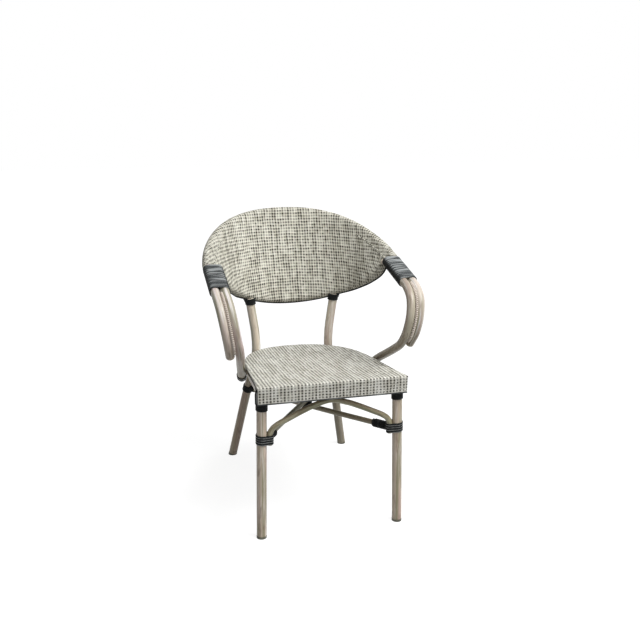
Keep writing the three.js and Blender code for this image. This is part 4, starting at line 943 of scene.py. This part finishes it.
seatCover = makeSeat()
clothBody(seatCover, seatShape["cloth"])
settle(seatCover, "seatCover", seatCloth, "woven_cloth", "seat_cover")
print("seat cloth stretched")


def flatLine(part):
    # a tube's line as it lies on the flat cloth
    reach = [0.0]
    for first, second in zip(part, part[1:]):
        reach.append(reach[-1] + (second.xy - first.xy).length)
    return [Vector((reach[-1] / 2 - r, p.z * backShape["lean"])) for r, p in zip(reach, part)]


def sleeve(place, up, front, flat, way, radius):
    # points and cuts from the front of a tube round to the flap that is sewn on behind
    points, cuts = [], []
    for angle in range(0, backShape["wrapped"] + 1, backShape["turnStep"]):
        a = math.radians(angle)
        points.append(place + front * (math.cos(a) * radius) + up * (math.sin(a) * radius))
        cuts.append(flat + way * (radius * a))
    for reach in backShape["flap"]:
        points.append(place - up * (radius + mm(reach)) + front * (radius - mm(backShape["tuck"])))
        cuts.append(flat + way * (radius * math.radians(backShape["flapFrom"]) + mm(reach)))
    return points, cuts


def makeBack():
    hoopRadius = tubeSizes["arm"] / 2 + mm(backShape["slack"])
    railRadius = tubeSizes["rail"] / 2 + mm(backShape["slack"])
    flatHoop, flatRail = flatLine(hoopPart), flatLine(railPart)
    outlines = [[Vector((w.y, -w.x)) for w in lineWays(flat)] for flat in (flatHoop, flatRail)]
    grid, cuts, rows = [], [], backShape["rows"]
    for k, ((upHoop, frontHoop), (upRail, frontRail)) in enumerate(zip(tubeAxes(hoopPart), tubeAxes(railPart))):
        top, topCuts = sleeve(hoopPart[k], upHoop, frontHoop, flatHoop[k], outlines[0][k], hoopRadius)
        foot, footCuts = sleeve(railPart[k], -upRail, frontRail, flatRail[k], -outlines[1][k], railRadius)
        grid.append(top[::-1] + [top[0].lerp(foot[0], step / rows) for step in range(1, rows)] + foot)
        cuts.append(topCuts[::-1] + [flatHoop[k].lerp(flatRail[k], step / rows) for step in range(1, rows)] + footCuts)
    return clothSheet("backCover", grid, cuts)


backCover = makeBack()
clothBody(backCover, backShape["cloth"])
settle(backCover, "backCover", backCloth, "woven_cloth", "back_cover", "back_sleeve_top", "back_sleeve_bottom")
print("back cloth stretched")


# Turned pieces: glides, end plugs and the caps on the arm feet
turnedSides = 32


def turnedPair(name, node, shape, place, way, finish, slotName, trim=None):
    nothingSelected()
    bpy.ops.mesh.primitive_cylinder_add(vertices=turnedSides, radius=mm(shape["radius"]), depth=mm(shape["depth"]))
    piece = bpy.context.object
    bpy.ops.object.mode_set(mode="EDIT")
    pickEdges(piece, lambda a, b: a.z > 0 and b.z > 0)
    bpy.ops.mesh.bevel(offset=mm(shape["rim"]), segments=shape["rimSteps"], affect="EDGES")
    bpy.ops.object.mode_set(mode="OBJECT")
    piece.rotation_euler = way.to_track_quat("Z", "Y").to_euler()
    piece.location = place + way * mm(shape["along"])
    bpy.ops.object.transform_apply(location=True, rotation=True)
    if trim is not None:
        bpy.ops.object.mode_set(mode="EDIT")
        bpy.ops.mesh.select_all(action="SELECT")
        bpy.ops.mesh.bisect(plane_co=(0, 0, trim), plane_no=(0, 0, 1), clear_inner=True, use_fill=True)
        bpy.ops.object.mode_set(mode="OBJECT")
    bpy.ops.object.shade_smooth_by_angle(angle=tubeShape["crease"])
    notePlaces(piece)
    settle(piece, name + "Right", finish, slotName, node + "_right")
    mirrorCopy(piece, name + "Left", node + "_left")


rearLegWay = (rearLegLine[4] - rearLegLine[0]).normalized()
hoopWay = (hoopLine[0] - hoopLine[2]).normalized()
armFootWay = (armLine[0] - armLine[3]).normalized()
glide = {"radius": 14.5, "depth": 14, "rim": 0.8, "rimSteps": 2, "along": 0}
turnedPair("frontGlide", "front_glide", glide, onFrontLeg(-1.2), legWay, glidePlastic, "black_plastic", trim=0.0)
glide["along"] = -7.2
turnedPair("rearGlide", "rear_glide", glide, rearLegLine[0], rearLegWay, glidePlastic, "black_plastic", trim=0.0)
endPlug = {"radius": 12.5, "depth": 8, "rim": 3.9, "rimSteps": 5, "along": 0.3}
turnedPair("armEndPlug", "arm_end_plug", endPlug, hoopLine[0], hoopWay, paints["Plain"], "bamboo_paint")
footCap = {"radius": 15.2, "depth": 31, "rim": 3.2, "rimSteps": 4, "along": -2.5}
turnedPair("armFootCap", "arm_foot_cap", footCap, armLine[0], armFootWay, plasticFinish, "black_plastic")

# CAD nodes that stay get their finishes
screws = [f"seat_screw_{number}_{side}" for number in (1, 2) for side in ("right", "left")]
kept = {"front_rail_cap_right": plasticFinish, "front_rail_cap_left": plasticFinish, "seat_panel_frame": metalFinish,
        "front_rail": paints["Rail"], **{screw: metalFinish for screw in screws}}
for nodeName, finish in kept.items():
    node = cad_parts[nodeName]
    node.data.materials.clear()
    node.data.materials.append(finish)
print("glides, plugs and caps fitted")

# Studio
studio = {"floor": 30.0, "floorDrop": -0.0004, "floorColour": 0.32, "glow": (0.87, 0.965), "glowReach": (1.2, 3.5),
          "ambient": 0.15, "goal": (0, 0, 0.4), "lamps": {
              "keyLight": {"power": 112.0, "size": 1.8, "place": (1.3, -1.1, 3.1)},
              "fillLight": {"power": 26.0, "size": 2.2, "place": (0.4, -2.7, 2.5)}}}
nothingSelected()
bpy.ops.mesh.primitive_plane_add(size=studio["floor"], location=(0, 0, studio["floorDrop"]))
floor = bpy.context.object
floor.name = "floor"
finish, shader = newFinish("paleFloor")
# the floor and the world look pale to the camera and in gloss, and light the chair only a little
rays = addNode("ShaderNodeLightPath", {})
seen = work("ADD", rays["Is Camera Ray"], rays["Is Glossy Ray"], clamp=True)
reach = addNode("ShaderNodeVectorMath", {0: objectPlace()}, operation="LENGTH")["Value"]
feed(shader, {"Base Color": (*[studio["floorColour"]] * 3, 1), "Roughness": 0.9, "Specular IOR Level": 0.1,
              "Emission Color": (1, 1, 1, 1),
              "Emission Strength": times(seen, between(reach, *studio["glowReach"], *studio["glow"]))})
floor.data.materials.append(finish)

scene.world = bpy.data.worlds.new("studio")
scene.world.use_nodes = True
shading["tree"] = scene.world.node_tree
rays = addNode("ShaderNodeLightPath", {})
seen = work("ADD", rays["Is Camera Ray"], rays["Is Glossy Ray"])
seen = work("ADD", seen, rays["Is Transmission Ray"], clamp=True)
feed(shading["tree"].nodes["Background"], {
    "Color": (1, 1, 1, 1), "Strength": between(seen, 0, 1, studio["ambient"], 1.0, "LINEAR")})

for name, look in studio["lamps"].items():
    place = Vector(look["place"])
    bpy.ops.object.light_add(type="AREA", location=place)
    lamp = bpy.context.object
    lamp.name = name
    lamp.data.energy = look["power"]
    lamp.data.size = look["size"]
    lamp.rotation_euler = (Vector(studio["goal"]) - place).to_track_quat("-Z", "Y").to_euler()
print("studio lit")
